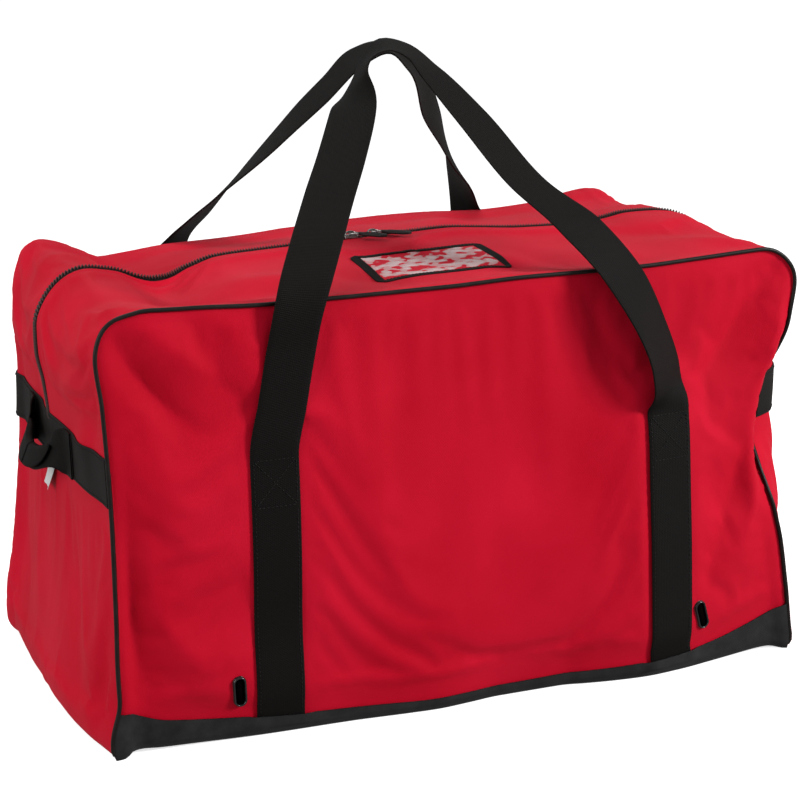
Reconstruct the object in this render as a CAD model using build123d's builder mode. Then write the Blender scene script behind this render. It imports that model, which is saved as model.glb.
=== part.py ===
"""A soft hockey equipment bag with a full-length zipped mouth, two webbing carry handles and two end grabs.

Millimetres. X runs along the bag, Y from the front panel (-Y) to the rear panel (+Y), Z is up.
The origin is the middle of the underside. The rest pose has the mouth zipped shut and both carry
handles held up together over the middle.
"""

import os

from build123d import *

# ---- driving dimensions ----
LENGTH = 762.0
DEPTH = 457.0
HEIGHT = 457.0
TOP_RADIUS = 50.0
FOOT_RADIUS = 12.0
FABRIC = 1.5
GAP = 0.3

PIPING_RADIUS = 2.2
PIPING_FOOT = 8.0

BAND_CORNER_RISE = 49.0
BAND_MIDDLE_RISE = 18.0

WEBBING_WIDTH = 50.8
WEBBING_THICK = 2.0
STRAP_X = (-218.0, 215.0)
STITCH_TOP = 294.0
STRAP_FOOT = 2.0

END_BAND_LOW = 260.0
END_BAND_HIGH = 311.0

MOUTH_HALF = 300.0
COIL_HALF = 5.0
COIL_SLIT = 0.7
COIL_RISE = 1.2
TAPE_HALF = 14.0
TAPE_THICK = 0.8

SLIDER_X = (-48.0, -22.0)
PULL_ANGLE = (-50.0, -43.0)

VENT_X = 263.0
VENT_Z = 54.0
VENT_SLOT = (20.0, 5.0)
VENT_OUTER = (32.0, 14.0)
VENT_THICK = 1.2

WINDOW_SIZE = (147.0, 94.0)
WINDOW_BORDER = 11.0
WINDOW_CORNER = 3.0
WINDOW_CENTRE = (1.0, -121.0)

# ---- derived places ----
FRONT_FACE = -DEPTH / 2
SEAM_CLEAR = PIPING_RADIUS + GAP + FABRIC / 2
SPLIT_Z = (END_BAND_LOW + END_BAND_HIGH) / 2
MIDLINE = FABRIC / 2
STRAP_BACK = DEPTH / 2 + GAP
STRAP_FACE = STRAP_BACK + WEBBING_THICK
COIL_FOOT = END_BAND_HIGH + GAP
TAPE_TOP = FABRIC + GAP
TAPE_LOW = TAPE_TOP + TAPE_THICK

os.makedirs("parts", exist_ok=True)


def save(builder, name):
    """Label one finished sub-part and write it to its own STEP file."""
    builder.part.label = name
    export_step(builder.part, f"parts/{name}.step")


def mirrored(builder, about):
    """The same sub-part on the other side of a plane."""
    with BuildPart() as copy:
        mirror(builder.part, about=about)
    return copy


def side_outline(inset, mode=Mode.ADD):
    """The bag's outline seen from the front, moved inwards by an inset (outwards if negative)."""
    with BuildSketch(mode=Mode.PRIVATE) as outline:
        with Locations((0, HEIGHT / 2)):
            Rectangle(LENGTH - 2 * inset, HEIGHT - 2 * inset)
        corners = outline.vertices().group_by(Axis.Y)
        fillet(corners[-1], TOP_RADIUS - inset)
        fillet(corners[0], FOOT_RADIUS - inset)
    add(outline.sketch, mode=mode)


def outline_strip(outer, inner, width, start, low, high, left, right):
    """A strip that follows the outline between two insets, within a window, from y=start towards -Y."""
    with BuildSketch(Plane.XZ.offset(-start)) as profile:
        side_outline(outer)
        side_outline(inner, mode=Mode.SUBTRACT)
        with Locations(((left + right) / 2, (low + high) / 2)):
            Rectangle(right - left, high - low, mode=Mode.INTERSECT)
    extrude(profile.sketch, amount=width)


def panel_region(above_band):
    """The front face inside its piping, kept above or below the arched seam of the tarpaulin band."""
    half = LENGTH / 2
    far = HEIGHT + GAP if above_band else -GAP
    side_outline(SEAM_CLEAR)
    with Locations((0, SEAM_CLEAR)):
        Rectangle(LENGTH - 2 * FOOT_RADIUS, 2 * SEAM_CLEAR)
    with BuildSketch(mode=Mode.PRIVATE) as kept:
        with BuildLine():
            seam = ThreePointArc((-half, BAND_CORNER_RISE), (0, BAND_MIDDLE_RISE), (half, BAND_CORNER_RISE))
            Polyline(seam @ 1, (half, far), (-half, far), seam @ 0)
        make_face()
    add(kept.sketch, mode=Mode.INTERSECT)


def vent_places():
    """Where the two oblong vents sit on the front face."""
    return Locations(*[Location((side * VENT_X, VENT_Z), 90) for side in (-1, 1)])


# ---- fabric shell ----
with BuildPart() as front_panel:
    with BuildSketch(Plane.XZ.offset(DEPTH / 2 - FABRIC)):
        panel_region(above_band=True)
        with vent_places():
            SlotOverall(*VENT_SLOT, mode=Mode.SUBTRACT)
    extrude(amount=FABRIC)
save(front_panel, "front_panel")

with BuildPart() as rear_panel:
    with BuildSketch(Plane.XZ.offset(FABRIC - DEPTH / 2)):
        panel_region(above_band=True)
    extrude(amount=-FABRIC)
save(rear_panel, "rear_panel")

with BuildPart() as bottom_panel:
    with BuildSketch(Plane.XY):
        Rectangle(LENGTH - 2 * FOOT_RADIUS - 2 * GAP, DEPTH)
    extrude(amount=FABRIC)
    for face in (1, -1):
        with BuildSketch(Plane.XZ.offset(face * (DEPTH / 2 - FABRIC))):
            panel_region(above_band=False)
        extrude(amount=face * FABRIC)
save(bottom_panel, "bottom_panel")

with BuildPart() as left_end_panel:
    outline_strip(
        0, FABRIC, DEPTH - 2 * SEAM_CLEAR, DEPTH / 2 - SEAM_CLEAR,
        low=0, high=SPLIT_Z - GAP, left=-LENGTH / 2, right=FOOT_RADIUS - LENGTH / 2,
    )
save(left_end_panel, "left_end_panel")
save(mirrored(left_end_panel, Plane.YZ), "right_end_panel")

STRIP_START = -(COIL_HALF + GAP)
STRIP_WIDTH = DEPTH / 2 - SEAM_CLEAR + STRIP_START
with BuildPart() as left_front_gusset:
    outline_strip(
        0, FABRIC, STRIP_WIDTH, STRIP_START,
        low=SPLIT_Z, high=HEIGHT, left=-LENGTH / 2, right=-MOUTH_HALF - GAP,
    )
save(left_front_gusset, "left_front_gusset")
save(mirrored(left_front_gusset, Plane.YZ), "right_front_gusset")
left_rear_gusset = mirrored(left_front_gusset, Plane.XZ)
save(left_rear_gusset, "left_rear_gusset")
save(mirrored(left_rear_gusset, Plane.YZ), "right_rear_gusset")

with BuildPart() as front_flap:
    outline_strip(
        0, FABRIC, STRIP_WIDTH, STRIP_START,
        low=HEIGHT / 2, high=HEIGHT, left=-MOUTH_HALF, right=MOUTH_HALF,
    )
save(front_flap, "front_flap")
save(mirrored(front_flap, Plane.XZ), "rear_flap")

# ---- piping in the long seams, and the binding inside them ----
with BuildPart() as front_piping:
    side = LENGTH / 2 - MIDLINE
    top = HEIGHT - MIDLINE
    with BuildLine(Plane.XZ.offset(DEPTH / 2 - MIDLINE)) as seam_line:
        FilletPolyline(
            (-side, PIPING_FOOT), (-side, top), (side, top), (side, PIPING_FOOT),
            radius=TOP_RADIUS - MIDLINE,
        )
    with BuildSketch(Plane((-side, MIDLINE - DEPTH / 2, PIPING_FOOT), z_dir=(0, 0, 1))):
        Circle(PIPING_RADIUS)
    sweep(path=seam_line.line)
save(front_piping, "front_piping")
save(mirrored(front_piping, Plane.XZ), "rear_piping")

BINDING_WIDTH = 8.0
BINDING_THICK = 1.2
with BuildPart() as front_binding:
    with BuildSketch(Plane.XZ.offset(DEPTH / 2 - MIDLINE - PIPING_RADIUS - GAP - BINDING_WIDTH)):
        side_outline(FABRIC + GAP)
        side_outline(FABRIC + GAP + BINDING_THICK, mode=Mode.SUBTRACT)
    extrude(amount=BINDING_WIDTH)
save(front_binding, "front_binding")
save(mirrored(front_binding, Plane.XZ), "rear_binding")


# ---- zip: coil halves with their tapes ----
def chain_half(low, high, left, right):
    """Half a zip chain on the -Y side: a raised coil with its tape running under the fabric."""
    outline_strip(-COIL_RISE, TAPE_LOW, COIL_HALF - COIL_SLIT, -COIL_SLIT, low, high, left, right)
    outline_strip(TAPE_TOP, TAPE_LOW, TAPE_HALF - COIL_SLIT, -COIL_SLIT, low, high, left, right)


CHAIN_TOP = HEIGHT + COIL_RISE
with BuildPart() as front_zip_chain:
    chain_half(HEIGHT / 2, CHAIN_TOP, -MOUTH_HALF, MOUTH_HALF)
save(front_zip_chain, "front_zip_chain")
save(mirrored(front_zip_chain, Plane.XZ), "rear_zip_chain")

with BuildPart() as left_zip_chain:
    chain_half(COIL_FOOT, CHAIN_TOP, -LENGTH / 2 - COIL_RISE, -MOUTH_HALF - GAP)
    mirror(about=Plane.XZ)
save(left_zip_chain, "left_zip_chain")
save(mirrored(left_zip_chain, Plane.YZ), "right_zip_chain")

# ---- zip sliders with their pulls ----
SLIDER_LENGTH = 20.0
SLIDER_HALF_WIDTH = 6.3
SLIDER_CORNER = 3.0
PLATE_CLEAR = 0.4
PLATE_THICK = 1.6
FLANGE_THICK = 1.0
FLANGE_SETBACK = 3.5
BRIDGE_HALF = 0.4
BRIDGE_LENGTH = 4.0
UNDER_PLATE = (18.0, 8.0, 1.2)
UNDER_CORNER = 2.5
BAIL_LEG = 1.3
BAIL_SLOT = (6.0, 2.4)
BAIL_HALF_WIDTH = 1.2
BAIL_ROOF = 1.3

PLATE_LOW = HEIGHT + COIL_RISE + PLATE_CLEAR
PLATE_TOP = PLATE_LOW + PLATE_THICK
UNDER_TOP = HEIGHT - TAPE_LOW - PLATE_CLEAR
PIVOT_Z = PLATE_TOP + GAP + BAIL_SLOT[1] / 2

LINK_OUTER = (13.0, 11.0)
LINK_BAR = 1.5
LINK_THICK = 1.4
LINK_CORNER = 1.4
TAB_LENGTH = 30.0
TAB_WIDTH = 9.5
TAB_THICK = 3.0
TAB_CORNER = 2.0
TAB_NECK = (4.4, 7.2)
NECK_OVERLAP = 2.0


def slider_body(centre, nose):
    """Slider body round the chain: two plates, a bridge at its nose and a bail on top."""
    with BuildSketch(Plane.XY.offset(PLATE_LOW)) as top_plate:
        with Locations((centre, 0)):
            RectangleRounded(SLIDER_LENGTH, 2 * SLIDER_HALF_WIDTH, SLIDER_CORNER)
    extrude(top_plate.sketch, amount=PLATE_THICK)
    with BuildSketch(Plane.XY.offset(HEIGHT + PLATE_CLEAR)) as flanges:
        for edge in (-1, 1):
            with Locations((centre, edge * (SLIDER_HALF_WIDTH - FLANGE_THICK / 2))):
                Rectangle(SLIDER_LENGTH - 2 * FLANGE_SETBACK, FLANGE_THICK)
    extrude(flanges.sketch, amount=PLATE_LOW - HEIGHT - PLATE_CLEAR)
    with BuildSketch(Plane.XY.offset(UNDER_TOP - UNDER_PLATE[2])) as under_plate:
        with Locations((centre, 0)):
            RectangleRounded(UNDER_PLATE[0], UNDER_PLATE[1], UNDER_CORNER)
    extrude(under_plate.sketch, amount=UNDER_PLATE[2])
    with BuildSketch(Plane.XY.offset(UNDER_TOP - UNDER_PLATE[2])) as bridge:
        with Locations((centre + nose * (UNDER_PLATE[0] - BRIDGE_LENGTH) / 2, 0)):
            Rectangle(BRIDGE_LENGTH, 2 * BRIDGE_HALF)
    extrude(bridge.sketch, amount=PLATE_TOP - UNDER_TOP + UNDER_PLATE[2])
    roof = PIVOT_Z + BAIL_SLOT[1] / 2 + BAIL_ROOF
    with BuildSketch(Plane.XZ.offset(-BAIL_HALF_WIDTH)) as bail:
        with Locations((centre, (PLATE_TOP + roof) / 2)):
            Rectangle(BAIL_SLOT[0] + 2 * BAIL_LEG, roof - PLATE_TOP)
        with Locations((centre, PIVOT_Z)):
            Rectangle(*BAIL_SLOT, mode=Mode.SUBTRACT)
    extrude(bail.sketch, amount=2 * BAIL_HALF_WIDTH)


def pull_plane(centre, angle, height):
    """A plane over a slider's pivot, with its local x along the way the pull lies."""
    return Plane((centre, 0, height), z_dir=(0, 0, 1)).rotated((0, 0, angle))


def pull_link(centre, angle):
    """Flat metal loop through the bail, carrying the soft tab at its far end."""
    with BuildSketch(pull_plane(centre, angle, PIVOT_Z - LINK_THICK / 2)) as loop:
        with Locations(((LINK_OUTER[0] - LINK_BAR) / 2, 0)):
            RectangleRounded(*LINK_OUTER, LINK_CORNER)
            Rectangle(LINK_OUTER[0] - 2 * LINK_BAR, LINK_OUTER[1] - 2 * LINK_BAR, mode=Mode.SUBTRACT)
    extrude(loop.sketch, amount=LINK_THICK)


def pull_tab(centre, angle):
    """Moulded tab whose neck is threaded round the far bar of the link."""
    far_bar = LINK_OUTER[0] - LINK_BAR
    neck_start = far_bar - TAB_NECK[0] / 2
    body_start = far_bar + LINK_BAR / 2 + GAP
    with BuildSketch(pull_plane(centre, angle, PIVOT_Z - TAB_THICK / 2)) as tab_face:
        with Locations((body_start + TAB_LENGTH / 2, 0)):
            RectangleRounded(TAB_LENGTH, TAB_WIDTH, TAB_CORNER)
        with Locations(((neck_start + body_start + NECK_OVERLAP) / 2, 0)):
            Rectangle(body_start - neck_start + NECK_OVERLAP, TAB_NECK[1])
    extrude(tab_face.sketch, amount=TAB_THICK)
    bar_room = LINK_BAR + 2 * GAP
    with BuildSketch(pull_plane(centre, angle, PIVOT_Z - LINK_THICK / 2 - GAP)) as bar_hole:
        with Locations((far_bar, 0)):
            Rectangle(bar_room, 2 * TAB_WIDTH)
    extrude(bar_hole.sketch, amount=LINK_THICK + 2 * GAP, mode=Mode.SUBTRACT)


for side_name, slider_x, pull_angle, nose_way in zip(("left", "right"), SLIDER_X, PULL_ANGLE, (1, -1)):
    with BuildPart() as slider:
        slider_body(slider_x, nose_way)
    save(slider, f"{side_name}_slider")
    with BuildPart() as link:
        pull_link(slider_x, pull_angle)
    save(link, f"{side_name}_pull_link")
    with BuildPart() as tab:
        pull_tab(slider_x, pull_angle)
    save(tab, f"{side_name}_pull_tab")

# ---- vents low on the front panel ----
with BuildPart() as vent_eyelets:
    with BuildSketch(Plane.XZ.offset(DEPTH / 2 + GAP)):
        with vent_places():
            SlotOverall(*VENT_OUTER)
            SlotOverall(*VENT_SLOT, mode=Mode.SUBTRACT)
    extrude(amount=VENT_THICK)
save(vent_eyelets, "vent_eyelets")

with BuildPart() as vent_washers:
    with BuildSketch(Plane.XZ.offset(DEPTH / 2 - FABRIC - GAP - VENT_THICK)):
        with vent_places():
            SlotOverall(*VENT_OUTER)
            SlotOverall(*VENT_SLOT, mode=Mode.SUBTRACT)
    extrude(amount=VENT_THICK)
save(vent_washers, "vent_washers")

# ---- name-card window on the front flap ----
FILM_THICK = 0.4
FRAME_THICK = 1.2
with BuildPart() as window_film:
    with BuildSketch(Plane.XY.offset(HEIGHT + GAP)):
        with Locations(WINDOW_CENTRE):
            Rectangle(WINDOW_SIZE[0] - WINDOW_BORDER, WINDOW_SIZE[1] - WINDOW_BORDER)
    extrude(amount=FILM_THICK)
save(window_film, "window_film")

with BuildPart() as window_frame:
    with BuildSketch(Plane.XY.offset(HEIGHT + GAP + FILM_THICK)):
        with Locations(WINDOW_CENTRE):
            RectangleRounded(*WINDOW_SIZE, WINDOW_CORNER)
            Rectangle(
                WINDOW_SIZE[0] - 2 * WINDOW_BORDER, WINDOW_SIZE[1] - 2 * WINDOW_BORDER,
                mode=Mode.SUBTRACT,
            )
    extrude(amount=FRAME_THICK)
save(window_frame, "window_frame")

# ---- webbing sewn down both panels, which carries the load under the bag ----
for face_name, face in (("front", 1), ("rear", -1)):
    for side_name, strap_x in zip(("left", "right"), STRAP_X):
        with BuildPart() as strap:
            with BuildSketch(Plane.XZ.offset(face * STRAP_BACK)):
                with Locations((strap_x, (STRAP_FOOT + STITCH_TOP) / 2)):
                    Rectangle(WEBBING_WIDTH, STITCH_TOP - STRAP_FOOT)
            extrude(amount=face * WEBBING_THICK)
        save(strap, f"{face_name}_{side_name}_strap")

# ---- carry handles: flat webbing loops that turn on edge where they are gathered ----
# Each station is a point on the webbing's middle and the way its width lies there.
HANDLE_FOOT = 297.5
HANDLE_STANDOFF = 1.7
HANDLE_PIVOT_Y = STRAP_FACE + HANDLE_STANDOFF
FRONT_STATIONS = (
    ((STRAP_X[0], -HANDLE_PIVOT_Y, HANDLE_FOOT), (-1, 0, 0)),
    ((-206, -236, 345), (-1, 0, 0)),
    ((-195, -239, 398), (-1, 0, 0)),
    ((-182, -240, 451), (-1, 0, 0)),
    ((-157, -211, 494), (-1, 0, 0)),
    ((-121, -154, 536), (-1, 0.1, 0)),
    ((-88, -104, 573), (-1, 0.3, 0)),
    ((-61, -66, 612), (-0.7, 0.7, 0)),
    ((-42, -38, 643), (0.2, 1, 0)),
    ((-26, -29, 663), (0.2, 1, 0)),
    ((-4, -28, 673), (0, 1, 0)),
    ((17, -29, 667), (0.1, 1, 0)),
    ((38, -40, 643), (0.4, 1, 0)),
    ((68, -74, 598), (0.7, 0.6, 0)),
    ((103, -140, 533), (0.95, 0.3, 0)),
    ((134, -206, 492), (1, 0, 0)),
    ((160, -242, 448), (1, -0.1, 0)),
    ((187, -250, 392), (1, -0.45, 0)),
    ((205, -246, 345), (1, -0.45, 0)),
    ((STRAP_X[1], -HANDLE_PIVOT_Y, HANDLE_FOOT), (1, 0, 0)),
)
REAR_STATIONS = (
    ((STRAP_X[0], HANDLE_PIVOT_Y, HANDLE_FOOT), (-1, 0, 0)),
    ((-212, 236, 345), (-1, 0, 0)),
    ((-203, 239, 398), (-1, 0, 0)),
    ((-190, 242, 450), (-1, -0.1, 0)),
    ((-150, 198, 505), (-0.5, -1, 0)),
    ((-108, 130, 553), (0, -1, 0)),
    ((-72, 80, 600), (0.2, -1, 0)),
    ((-42, 45, 642), (0.1, -1, 0)),
    ((-18, 30, 667), (0, -1, 0)),
    ((8, 28, 676), (0, -1, 0)),
    ((34, 32, 660), (0.1, -1, 0)),
    ((74, 75, 606), (0.2, -1, 0)),
    ((110, 116, 563), (-0.1, -1, 0)),
    ((138, 158, 528), (-0.3, -1, 0)),
    ((162, 205, 496), (0.5, -0.8, 0)),
    ((186, 242, 450), (1, -0.1, 0)),
    ((199, 239, 398), (1, 0, 0)),
    ((210, 236, 345), (1, 0, 0)),
    ((STRAP_X[1], HANDLE_PIVOT_Y, HANDLE_FOOT), (1, 0, 0)),
)


def webbing_through(stations, width, thickness):
    """Flat webbing lofted straight from station to station, square to its run at each one."""
    points = [Vector(*point) for point, _ in stations]
    last = len(points) - 1
    sections = []
    for index, (_, across) in enumerate(stations):
        run = (points[min(index + 1, last)] - points[max(index - 1, 0)]).normalized()
        if index in (0, last):
            run = Vector(0, 0, 1 if index == 0 else -1)
        along_width = Vector(*across) - run * Vector(*across).dot(run)
        with BuildSketch(Plane(points[index], x_dir=along_width, z_dir=run)) as section:
            Rectangle(width, thickness)
        sections.append(section.sketch)
    loft(sections, ruled=True)


for face_name, stations in (("front", FRONT_STATIONS), ("rear", REAR_STATIONS)):
    with BuildPart() as handle:
        webbing_through(stations, WEBBING_WIDTH, WEBBING_THICK)
    save(handle, f"{face_name}_handle")

# ---- end bands, grab handles and the care label ----
BAND_X = LENGTH / 2 + GAP
BAND_FACE = BAND_X + WEBBING_THICK
BAND_HALF = DEPTH / 2 - SEAM_CLEAR - GAP
GRAB_ANCHOR = (80.0, 106.0)
ANCHOR_MARGIN = 2.0
GRIP_SECTION = (27.0, 8.0)
GRIP_TILT = Vector(0.55, 0, 1)
# Each station is the distance out from the band, then y and z.
GRIP_STATIONS = (
    (27.0, -52.0, 268.0),
    (35.0, -26.0, 258.0),
    (38.0, 0.0, 254.0),
    (35.0, 26.0, 258.0),
    (27.0, 52.0, 268.0),
)
ANCHOR_HEIGHT = END_BAND_HIGH - END_BAND_LOW - 2 * ANCHOR_MARGIN

with BuildPart() as left_end_band:
    with BuildSketch(Plane.YZ.offset(-BAND_FACE)):
        with Locations((0, SPLIT_Z)):
            Rectangle(2 * BAND_HALF, END_BAND_HIGH - END_BAND_LOW)
    extrude(amount=WEBBING_THICK)
save(left_end_band, "left_end_band")
save(mirrored(left_end_band, Plane.YZ), "right_end_band")

ANCHOR_BACK = BAND_FACE + GAP
with BuildPart() as left_grab_anchors:
    with BuildSketch(Plane.YZ.offset(-ANCHOR_BACK - WEBBING_THICK)):
        for end in (-1, 1):
            with Locations((end * sum(GRAB_ANCHOR) / 2, SPLIT_Z)):
                Rectangle(GRAB_ANCHOR[1] - GRAB_ANCHOR[0], ANCHOR_HEIGHT)
    extrude(amount=WEBBING_THICK)
save(left_grab_anchors, "left_grab_anchors")
save(mirrored(left_grab_anchors, Plane.YZ), "right_grab_anchors")

grip_points = [Vector(-(BAND_FACE + out), along_band, height) for out, along_band, height in GRIP_STATIONS]


def grip_section(point, run):
    """Cross-section of the folded grip at a point, square to its run."""
    across = GRIP_TILT - run * GRIP_TILT.dot(run)
    with BuildSketch(Plane(point, x_dir=across, z_dir=run)) as section:
        Rectangle(*GRIP_SECTION)
    return section.sketch


with BuildPart() as left_grab:
    sections = []
    for index, point in enumerate(grip_points):
        ahead = grip_points[min(index + 1, len(grip_points) - 1)]
        behind = grip_points[max(index - 1, 0)]
        sections.append(grip_section(point, (ahead - behind).normalized()))
    loft(sections, ruled=True)
save(left_grab, "left_grab")
save(mirrored(left_grab, Plane.YZ), "right_grab")

with BuildPart() as left_grab_ends:
    start_run = (grip_points[1] - grip_points[0]).normalized()
    anchor_edge = Vector(-ANCHOR_BACK - 2 * WEBBING_THICK, GAP - GRAB_ANCHOR[0], SPLIT_Z)
    with BuildSketch(Plane(anchor_edge, x_dir=(0, 0, 1), z_dir=(0, 1, 0))) as anchor_section:
        Rectangle(ANCHOR_HEIGHT, WEBBING_THICK)
    loft([anchor_section.sketch, grip_section(grip_points[0] - start_run * GAP, start_run)], ruled=True)
    mirror(about=Plane.XZ)
save(left_grab_ends, "left_grab_ends")
save(mirrored(left_grab_ends, Plane.YZ), "right_grab_ends")

LABEL_SIZE = (34.0, 52.0)
LABEL_THICK = 0.5
LABEL_Y = 32.0
with BuildPart() as care_label:
    with BuildSketch(Plane.YZ.offset(-LENGTH / 2 - GAP - LABEL_THICK)):
        with Locations((LABEL_Y, END_BAND_LOW - GAP - LABEL_SIZE[1] / 2)):
            Rectangle(*LABEL_SIZE)
    extrude(amount=LABEL_THICK)
save(care_label, "care_label")
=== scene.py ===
"""Looks of the hockey equipment bag: cloth shell, webbing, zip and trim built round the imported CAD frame."""

import math

import bpy
import numpy as np
from mathutils import Matrix, Vector
from mathutils.bvhtree import BVHTree
from mathutils.geometry import delaunay_2d_cdt


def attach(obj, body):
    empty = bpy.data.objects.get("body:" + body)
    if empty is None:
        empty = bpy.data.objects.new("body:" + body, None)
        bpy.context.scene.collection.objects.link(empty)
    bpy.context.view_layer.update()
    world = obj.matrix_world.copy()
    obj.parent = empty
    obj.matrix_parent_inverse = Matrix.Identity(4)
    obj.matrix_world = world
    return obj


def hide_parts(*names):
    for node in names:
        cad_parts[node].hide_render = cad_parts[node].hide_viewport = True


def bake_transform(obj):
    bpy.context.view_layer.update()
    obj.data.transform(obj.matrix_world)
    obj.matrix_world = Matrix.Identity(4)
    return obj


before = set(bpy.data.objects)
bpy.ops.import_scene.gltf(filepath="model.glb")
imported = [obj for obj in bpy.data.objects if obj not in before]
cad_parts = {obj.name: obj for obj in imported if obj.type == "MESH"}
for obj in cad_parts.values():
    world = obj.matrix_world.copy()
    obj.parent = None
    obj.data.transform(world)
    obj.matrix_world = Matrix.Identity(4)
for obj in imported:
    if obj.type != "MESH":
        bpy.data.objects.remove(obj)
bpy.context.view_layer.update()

# ---------------------------------------------------------------- sizes, in millimetres
MM = 0.001
HALF_LENGTH = 381.0        # middle to the end seams
SEAM_Y = 228.0             # middle to the front and rear piping
HEIGHT = 457.0
TOP_RADIUS = 50.0
SIDE = HEIGHT - TOP_RADIUS
ARC = math.pi / 2 * TOP_RADIUS
TOP = 2 * (HALF_LENGTH - TOP_RADIUS)
GIRTH = 2 * SIDE + 2 * ARC + TOP
MIDDLE = GIRTH / 2
CLOTH = 1.3                # woven polyester with its coating
BAND_LOW, BAND_HIGH = 260.0, 311.0
STRIP_FOOT = 272.0         # the top strips start behind the end bands
PANEL_HEAD = 296.0         # the end panels reach up behind the end bands
ZIP_EDGE = 6.2             # cloth edge to the middle of the zip
ZIP_RIDGE = 9.0            # middle of the zip to the fold of cloth beside it
WEBBING_WIDTH, WEBBING_THICK = 50.8, 2.0
PIPING_RADIUS = 2.2

SIDES = (("front", -1), ("rear", 1))   # each with the sign of its Y
HALVES = ("left", "right")


# ---------------------------------------------------------------- curves
def hermite(places, values, at, level=False):
    """Smooth line through values at increasing places, read off at the given places. A level one never
    swings past its values."""
    places = np.asarray(places, float)
    values = np.asarray(values, float)
    flat = values.ndim == 1
    if flat:
        values = values[:, None]
    step = np.diff(places)[:, None]
    slope = np.diff(values, axis=0) / step
    tangent = np.empty_like(values)
    tangent[0], tangent[-1] = slope[0], slope[-1]
    tangent[1:-1] = (slope[:-1] * step[1:] + slope[1:] * step[:-1]) / (step[1:] + step[:-1])
    if level:
        steep = slope[:-1] * slope[1:]
        tangent[1:-1] = np.where(steep > 0, 2 * steep / np.where(steep > 0, slope[:-1] + slope[1:], 1), 0)
    at = np.clip(np.asarray(at, float), places[0], places[-1])
    index = np.clip(np.searchsorted(places, at, side="right") - 1, 0, len(places) - 2)
    width = step[index]
    t = ((at - places[index])[..., None]) / width
    got = ((1 + 2 * t) * (1 - t) ** 2 * values[index] + t * (1 - t) ** 2 * width * tangent[index]
           + t * t * (3 - 2 * t) * values[index + 1] + t * t * (t - 1) * width * tangent[index + 1])
    return got[..., 0] if flat else got


def line(*pairs):
    """A function of one number that runs smoothly through the (place, value) pairs."""
    places = [p[0] for p in pairs]
    values = [p[1] for p in pairs]
    return lambda at: hermite(places, values, at, level=True)


def distances(points):
    """How far along a polyline each of its points is."""
    return np.concatenate([[0], np.cumsum(np.linalg.norm(np.diff(points, axis=0), axis=1))])


def along(points, count=None, pitch=None):
    """The points of a polyline spaced evenly along its length."""
    points = np.asarray(points, float)
    length = distances(points)
    if count is None:
        count = max(2, int(round(length[-1] / pitch)) + 1)
    at = np.linspace(0, length[-1], count)
    return np.stack([np.interp(at, length, points[:, k]) for k in range(points.shape[1])], axis=1)


def spline(points, pitch=4.0):
    """A smooth curve through a few points, spaced evenly."""
    points = np.asarray(points, float)
    length = distances(points[:, :3])
    fine = hermite(length, points, np.linspace(0, length[-1], max(40, int(length[-1]))))
    return along(fine, pitch=pitch)


def unit(v):
    return v / np.maximum(np.linalg.norm(v, axis=-1, keepdims=True), 1e-9)


def smooth(t):
    t = np.clip(t, 0, 1)
    return t * t * (3 - 2 * t)


def bump(t):
    """1 at 0, falling smoothly to 0 at 1 either side."""
    return smooth(1 - np.abs(t))


# ---------------------------------------------------------------- the shape of the shell
def tunnel(g):
    """The plain rounded box seen from the front: place and outward direction at distance g along its
    outline, from the left foot up, over the top and down to the right foot."""
    g = np.asarray(g, float)
    left = np.clip((g - SIDE) / ARC, 0, 1) * math.pi / 2
    right = np.clip((g - SIDE - ARC - TOP) / ARC, 0, 1) * math.pi / 2
    x = (-HALF_LENGTH + TOP_RADIUS * (1 - np.cos(left)) + np.clip(g - SIDE - ARC, 0, TOP)
         + TOP_RADIUS * np.sin(right))
    z = (np.clip(g, 0, SIDE) + TOP_RADIUS * np.sin(left) - TOP_RADIUS * (1 - np.cos(right))
         - np.clip(g - (GIRTH - SIDE), 0, SIDE))
    nx = np.where(g < MIDDLE, -np.cos(left), np.sin(right))
    nz = np.where(g < MIDDLE, np.sin(left), np.cos(right))
    return x, z, nx, nz


def outward(g):
    """The plain box's outward directions at distances g along its outline."""
    _, _, nx, nz = tunnel(g)
    return np.stack([nx, np.zeros_like(nx), nz], axis=-1)


# How far the front piping, the zip line and the rear piping stand out of the plain box.
FRONT_OUT = line((0, 15), (10, 14), (20, 13.4), (30, 11.5), (40, 8.5), (50, 5.3), (62, 3.8), (85, 3.9),
                 (150, 2), (262, 0), (360, 2), (407, 6), (434, 5.7), (449, 2.3), (465, -3.2),
                 (495, -5.5), (535, -7), (605, -10.5), (723, -11), (795, -11), (877, -9), (962, -10),
                 (1008, -10), (1078, -7.6), (1125, -5.6), (1149, -4.6), (1172, -3.5), (1197, -3.5),
                 (1226, -7), (1249, -11.4), (1273, -16), (1295, -23), (1323, -31), (1353, -37),
                 (1383, -40), (1413, -39.5), (1443, -35), (1473, -28), (1503, -21), (1523, -18),
                 (1544, -15.5), (1564, -13), (1586, -11), (1607, -9), (1620, -7.5), (1634, -8))
FRONT_BACK = line((0, 0), (1255, 0), (1290, 9), (1330, 31), (1395, 33), (1425, 16), (1470, 0), (1634, 0))
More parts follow.
